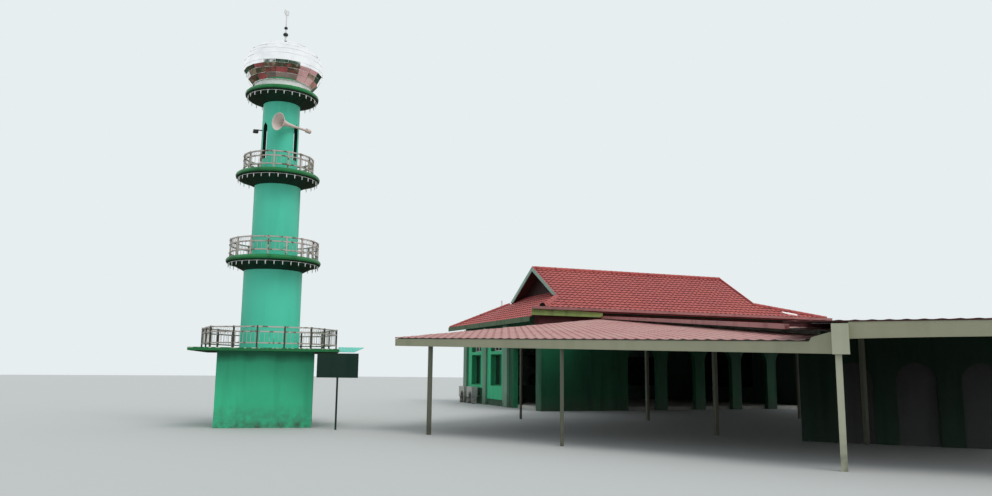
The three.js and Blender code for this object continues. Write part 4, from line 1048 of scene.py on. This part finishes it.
# %% Ridge and hip caps
CAP_SINK = 0.05
upper_low, upper_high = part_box("roof_back_upper")
front_low, front_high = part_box("roof_front")
back_low, back_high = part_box("roof_back_lower")
RIDGE_LEFT = upper_low.x
RIDGE_RIGHT = upper_high.x
RIDGE_Y = upper_low.y
RIDGE_Z = upper_high.z
GABLET_BACK_Y = upper_high.y
GABLET_FRONT_Y = 2 * RIDGE_Y - GABLET_BACK_Y
_, front_height = top_face("roof_front")
_, back_height = top_face("roof_back_lower")
RIGHT_HIP_BACK_Y = 4.015


def lifted(x, y, height_at):
    """A point of a hip's line, sunk a little into the tiles."""
    return Vector((x, y, height_at(x, y) - CAP_SINK))


ridge = bmesh.new()
ridge_seat = RIDGE_Z - 0.045
cap_row(ridge, (RIDGE_LEFT, RIDGE_Y, ridge_seat), (RIDGE_RIGHT, RIDGE_Y, ridge_seat))
finished("ridge_tiles", ridge, ["tile_red"], ["ridge_cap"])

LEFT_HIP = (
    lifted(RIDGE_LEFT - 0.1, GABLET_FRONT_Y - 0.1, front_height),
    lifted(front_low.x - 0.08, front_low.y + 0.06, front_height))
RIGHT_HIP = (
    lifted(RIDGE_RIGHT - 0.05, GABLET_FRONT_Y + 0.02, front_height),
    lifted(front_high.x - 0.18, front_low.y + 0.08, front_height))
LEFT_BACK_HIP = (
    lifted(RIDGE_LEFT - 0.05, GABLET_BACK_Y + 0.12, back_height),
    lifted(back_low.x + 0.06, back_high.y - 0.12, back_height))
RIGHT_BACK_HIP = (
    lifted(RIDGE_RIGHT + 0.1, GABLET_BACK_Y + 0.08, back_height),
    lifted(back_high.x - 0.15, RIGHT_HIP_BACK_Y - 0.1, back_height))
hips = bmesh.new()
for top, bottom in (LEFT_HIP, RIGHT_HIP, LEFT_BACK_HIP, RIGHT_BACK_HIP):
    cap_row(hips, top, bottom)
finished("hip_tiles", hips, ["tile_red"])

# %% [markdown]
# The left front hip has a band of pink mortar beside it and shows the hollow end of its lowest
# cap, a disc of painted shade. The right one has a short white repair.

# %% Hollow end, mortar and repair
HOLLOW_R = 0.13
HOLLOW_UP = 0.075

# A disc of painted shade fills the hollow end of the lowest cap.
hollow = bmesh.new()
fall = (LEFT_HIP[1] - LEFT_HIP[0]).normalized()
hip_end = LEFT_HIP[1] + UP * HOLLOW_UP
rod(hollow, hip_end - fall * 0.02, hip_end + fall * 0.045, HOLLOW_R, 16)
finished("left_hip_hollow", hollow, ["hollow_dark"])


def mortar_band(name, hip, start, end, aside, radius, wanted):
    """A half-buried round band beside a hip, between two shares of its length."""
    top, bottom = hip
    bm = bmesh.new()
    rod(bm, top.lerp(bottom, start) + aside, top.lerp(bottom, end) + aside, radius, 12)
    finished(name, bm, [wanted])


beside_hip = Vector((0.1, 0, -0.01))
mortar_band("left_hip_mortar", LEFT_HIP, 0.0, 0.95, beside_hip, 0.075, "pink_mortar")
below_hip = Vector((0, -0.36, front_height(0, -0.36) - front_height(0, 0)))
mortar_band("right_hip_repair", RIGHT_HIP, 0.33, 0.53, below_hip, 0.07, "white_wash")

# %% [markdown]
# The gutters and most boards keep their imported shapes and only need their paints. The barge
# boards and the front fascia change colour along the way, so the faces of a copy pick theirs, and
# the round pipe takes a smooth copy.

# %% Boards, gutters and pipe
LIME_END_X = -4.6
SIDES = ((-1, "left"), (1, "right"))

repaint("maroon_boards", "gablet_wall_left", "gablet_wall_right")
repaint("olive_boards", "left_end_fascia")
repaint("gutter_pink", "front_gutter", "forecourt_gutter")
repaint("beige_board", "left_canopy_fascia", "right_canopy_fascia")
repaint("beige_steel", "left_canopy_frame", "forecourt_frame", "right_canopy_frame")
repaint("box_beige", "corner_post")
repaint("trowelled", "hall_floor")


def barge_zone(side):
    """Tile red on top and on the roof's side, pale elsewhere."""
    return lambda centre, normal: int(normal.z > 0.5 or side * normal.x < -0.5)


for side, word in SIDES:
    boards = f"barge_boards_{word}"
    zoned_copy(boards, ["pale_boards", "tile_red"], barge_zone(side),
               f"{word}_barge_boards")
zoned_copy("roof_vent_pipe", ["white_wash"], whole, "vent_pipe")


def fascia_zone(centre, normal):
    """Lime at the free left end, dark red above the forecourt."""
    return 0 if centre.x < LIME_END_X else 1


zoned_copy("front_fascia", ["lime_boards", "red_boards"], fascia_zone,
           "front_fascia_board")

# %% [markdown]
# The hall's walls are painted in zones: deep green outside, lighter in the window reveals, a dim
# grey-green inside, which is painted shade of the rooms, with grey-green pilasters, and mint at
# the back. The faces of a copy of each wall pick their paint by place and direction. The numbers
# count in `WALL_PAINTS`.

# %% Hall walls
HALL_X = 7.75
HALL_Y = 5.2
ROOM_SIDE = 0.2
REVEAL = 0.26
REVEALS_LOW = 0.5
REVEALS_HIGH = 3.9
WALL_PAINTS = ["deep_green", "reveal_green", "pilaster_green", "inner_wall", "mint_wall"]


def end_wall_zone(centre, normal):
    """Pilasters stand out of the wall, and reveals look along it."""
    if abs(centre.x) > HALL_X + 0.005:
        return 2
    in_hole = abs(normal.x) < 0.5 and abs(centre.x) > HALL_X - REVEAL
    if in_hole and REVEALS_LOW < centre.z < REVEALS_HIGH:
        return 1 if abs(centre.y) < HALL_Y - 0.01 else 0
    return 0 if abs(centre.x) > HALL_X - ROOM_SIDE else 3


def front_wall_zone(centre, normal):
    return 3 if centre.y > -HALL_Y + ROOM_SIDE and abs(normal.y) > 0.5 else 0


def back_wall_zone(centre, normal):
    return 3 if centre.y < HALL_Y - ROOM_SIDE and abs(normal.y) > 0.5 else 4


for word, slot, zone in (
        ("left", "deep_green_paint", end_wall_zone), ("right", "deep_green_paint", end_wall_zone),
        ("front", "deep_green_paint", front_wall_zone), ("back", "mint_paint", back_wall_zone)):
    zoned_copy(f"hall_{word}_wall", WALL_PAINTS, zone)
for side, word in SIDES:
    repaint("surround_green", f"{word}_surround_1", f"{word}_surround_2")
repaint("window_glass", "left_window_glass", "right_window_glass", "back_window_glass")

# %% [markdown]
# The low wall behind the right canopy has blind arches. The wall is painted very dark and the
# arches' backs darker still, which is painted shade under the canopy. A strip of flashing in the
# dark red of painted shade closes the gap between the boxed post head and the canopy, and a dark
# red band runs along the hall's front above the arches and round its left corner.

# %% Low arcade, flashing and band
CORNER = Vector((-10.95, -26.2))
NICHE_BACK = 6.8


def arcade_zone(centre, normal):
    """The backs of the blind arches take the darkest painted shade."""
    return 1 if (centre.xy - CORNER).dot(DEEP) > NICHE_BACK - 0.01 else 0


zoned_copy("right_arcade_wall", ["soffit_green", "dark_metal"], arcade_zone)

FLASHING_LOW = (-2.05, 6.8, 2.965)
FLASHING_HIGH = (0.06, 6.83, 3.185)
corner_turn = Matrix.Rotation(math.atan2(-DEEP.x, DEEP.y), 4, "Z")
flashing = bmesh.new()
corner_place = Matrix.Translation((CORNER.x, CORNER.y, 0)) @ corner_turn
block(flashing, FLASHING_LOW, FLASHING_HIGH, corner_place)
finished("canopy_flashing", flashing, ["painted_shade_red"])

BAND_LEFT = -7.76
BAND_RIGHT = 7.7
BAND_LOW = 3.85
BAND_HIGH = 4.42
BAND_FACE = -HALL_Y - 0.03
band = bmesh.new()
block(band, (BAND_LEFT, BAND_FACE, BAND_LOW), (BAND_RIGHT, -HALL_Y + 0.001, BAND_HIGH))
corner_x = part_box("hall_left_wall")[0].x - 0.01
block(band, (corner_x, BAND_FACE, BAND_LOW), (BAND_LEFT - 0.001, -HALL_Y + 0.5, BAND_HIGH))
finished("front_wall_band", band, ["red_boards"])

# %% [markdown]
# The windows have slim frames just outside the glass: four outer bars and a mullion, and two
# bars in each top light. In the end walls the windows' frames are painted green and the top
# lights' are aluminium, as are those at the back. One function makes a frame in a hole, in the
# wall's own directions.

# %% Window frames
FRAME_BAR = 0.05
FRAME_DEPTH = 0.06
GLASS_IN = 0.255


def frame_in_hole(bm, across, face, side, low, high, foot, head, mullions):
    """Bars round a hole and upright ones inside it. Across is 0 or 1, the wall's long axis."""
    near, far = sorted((face, face + side * FRAME_DEPTH))
    left, right = low + FRAME_BAR, high - FRAME_BAR
    bottom, top = foot + FRAME_BAR, head - FRAME_BAR
    bars = [(low, left, foot, head), (right, high, foot, head),
            (left, right, foot, bottom), (left, right, top, head)]
    for index in range(mullions):
        middle = low + (high - low) * (index + 1) / (mullions + 1)
        bars.append((middle - FRAME_BAR / 2, middle + FRAME_BAR / 2, bottom, top))
    for start, end, z_low, z_high in bars:
        if across:
            block(bm, (near, start, z_low), (far, end, z_high))
        else:
            block(bm, (start, near, z_low), (end, far, z_high))


WINDOW_SPANS = ((2.55, 4.03), (-0.45, 1.08))
SILL, HEAD, LIGHT_SILL, LIGHT_HEAD = 1.0, 2.6, 2.76, 3.3
for side, word in SIDES:
    plane = side * (HALL_X - GLASS_IN)
    lower = bmesh.new()
    upper = bmesh.new()
    for low, high in WINDOW_SPANS:
        frame_in_hole(lower, 1, plane, side, low, high, SILL, HEAD, 1)
        frame_in_hole(upper, 1, plane, side, low, high, LIGHT_SILL, LIGHT_HEAD, 2)
    finished(f"{word}_window_frames", lower, ["reveal_green"])
    finished(f"{word}_top_light_bars", upper, ["aluminium"])
BACK_HALF = 0.65
back_frames = bmesh.new()
for middle in (-4.5, 0, 4.5):
    low = middle - BACK_HALF
    frame_in_hole(back_frames, 0, HALL_Y - GLASS_IN, 1, low, middle + BACK_HALF, SILL, HEAD, 1)
finished("back_window_frames", back_frames, ["aluminium"])

# %% [markdown]
# An outdoor air-conditioner unit is a sheet-metal case with a round fan behind a wire guard.
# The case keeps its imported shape, and the guard is rings and spokes of wire.

# %% Air-conditioner units
GUARD_RINGS = 6
GUARD_R = 0.21
GUARD_WIRE = 0.003
SPOKES = 6
FAN_ASIDE = 0.29
GUARD_OUT = 0.008


def guard_shape(bm):
    """Rings and spokes round the Z axis."""
    for index in range(GUARD_RINGS):
        radius = GUARD_R * (index + 1) / GUARD_RINGS
        inner, outer = radius - GUARD_WIRE, radius + GUARD_WIRE
        high = GUARD_WIRE
        turned(bm, [(inner, -high), (outer, -high), (outer, high), (inner, high)], 32)
    for index in range(SPOKES):
        turn = math.pi * index / SPOKES
        arm = Vector((math.cos(turn), math.sin(turn), 0)) * GUARD_R
        rod(bm, -arm, arm, 0.004, 6)


guard = small_shape("fan_guard", guard_shape)
for word in ("back", "front"):
    unit_low, unit_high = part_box(f"air_conditioner_{word}")
    bm = bmesh.new()
    middle = (unit_low.z + unit_high.z) / 2
    hub = Vector((unit_low.x - GUARD_OUT, unit_low.y + FAN_ASIDE, middle))
    stamp(bm, guard, Matrix.Translation(hub) @ Matrix.Rotation(math.pi / 2, 4, "Y"))
    finished(f"{word}_fan_guard", bm, ["dark_metal"])
    repaint("unit_white", f"air_conditioner_{word}")

# %% [markdown]
# The awning beside the minaret's slab is one corrugated sheet, so it takes the same ribbed grid
# in one long course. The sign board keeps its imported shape, plain green.

# %% Awning and sign board
to_street = Matrix.Rotation(TOWER_TURN, 2) @ Vector((0, -1))
profiled_slope(
    "corrugated_awning", "minaret_awning", to_street, rib=0.1, course=1.7, depth=0.008, lip=0.001,
    thickness=0.015, finishes=["sheet_turquoise"], slot="turquoise_sheet", sharpness=1)
repaint("board_green", "sign_board")

# %% [markdown]
# Every solid that still has no finish gets plain cement.

# %% Cement for the rest
for name in nodes:
    if not nodes[name].hide_render and not nodes[name].data.materials:
        repaint("cement", name)
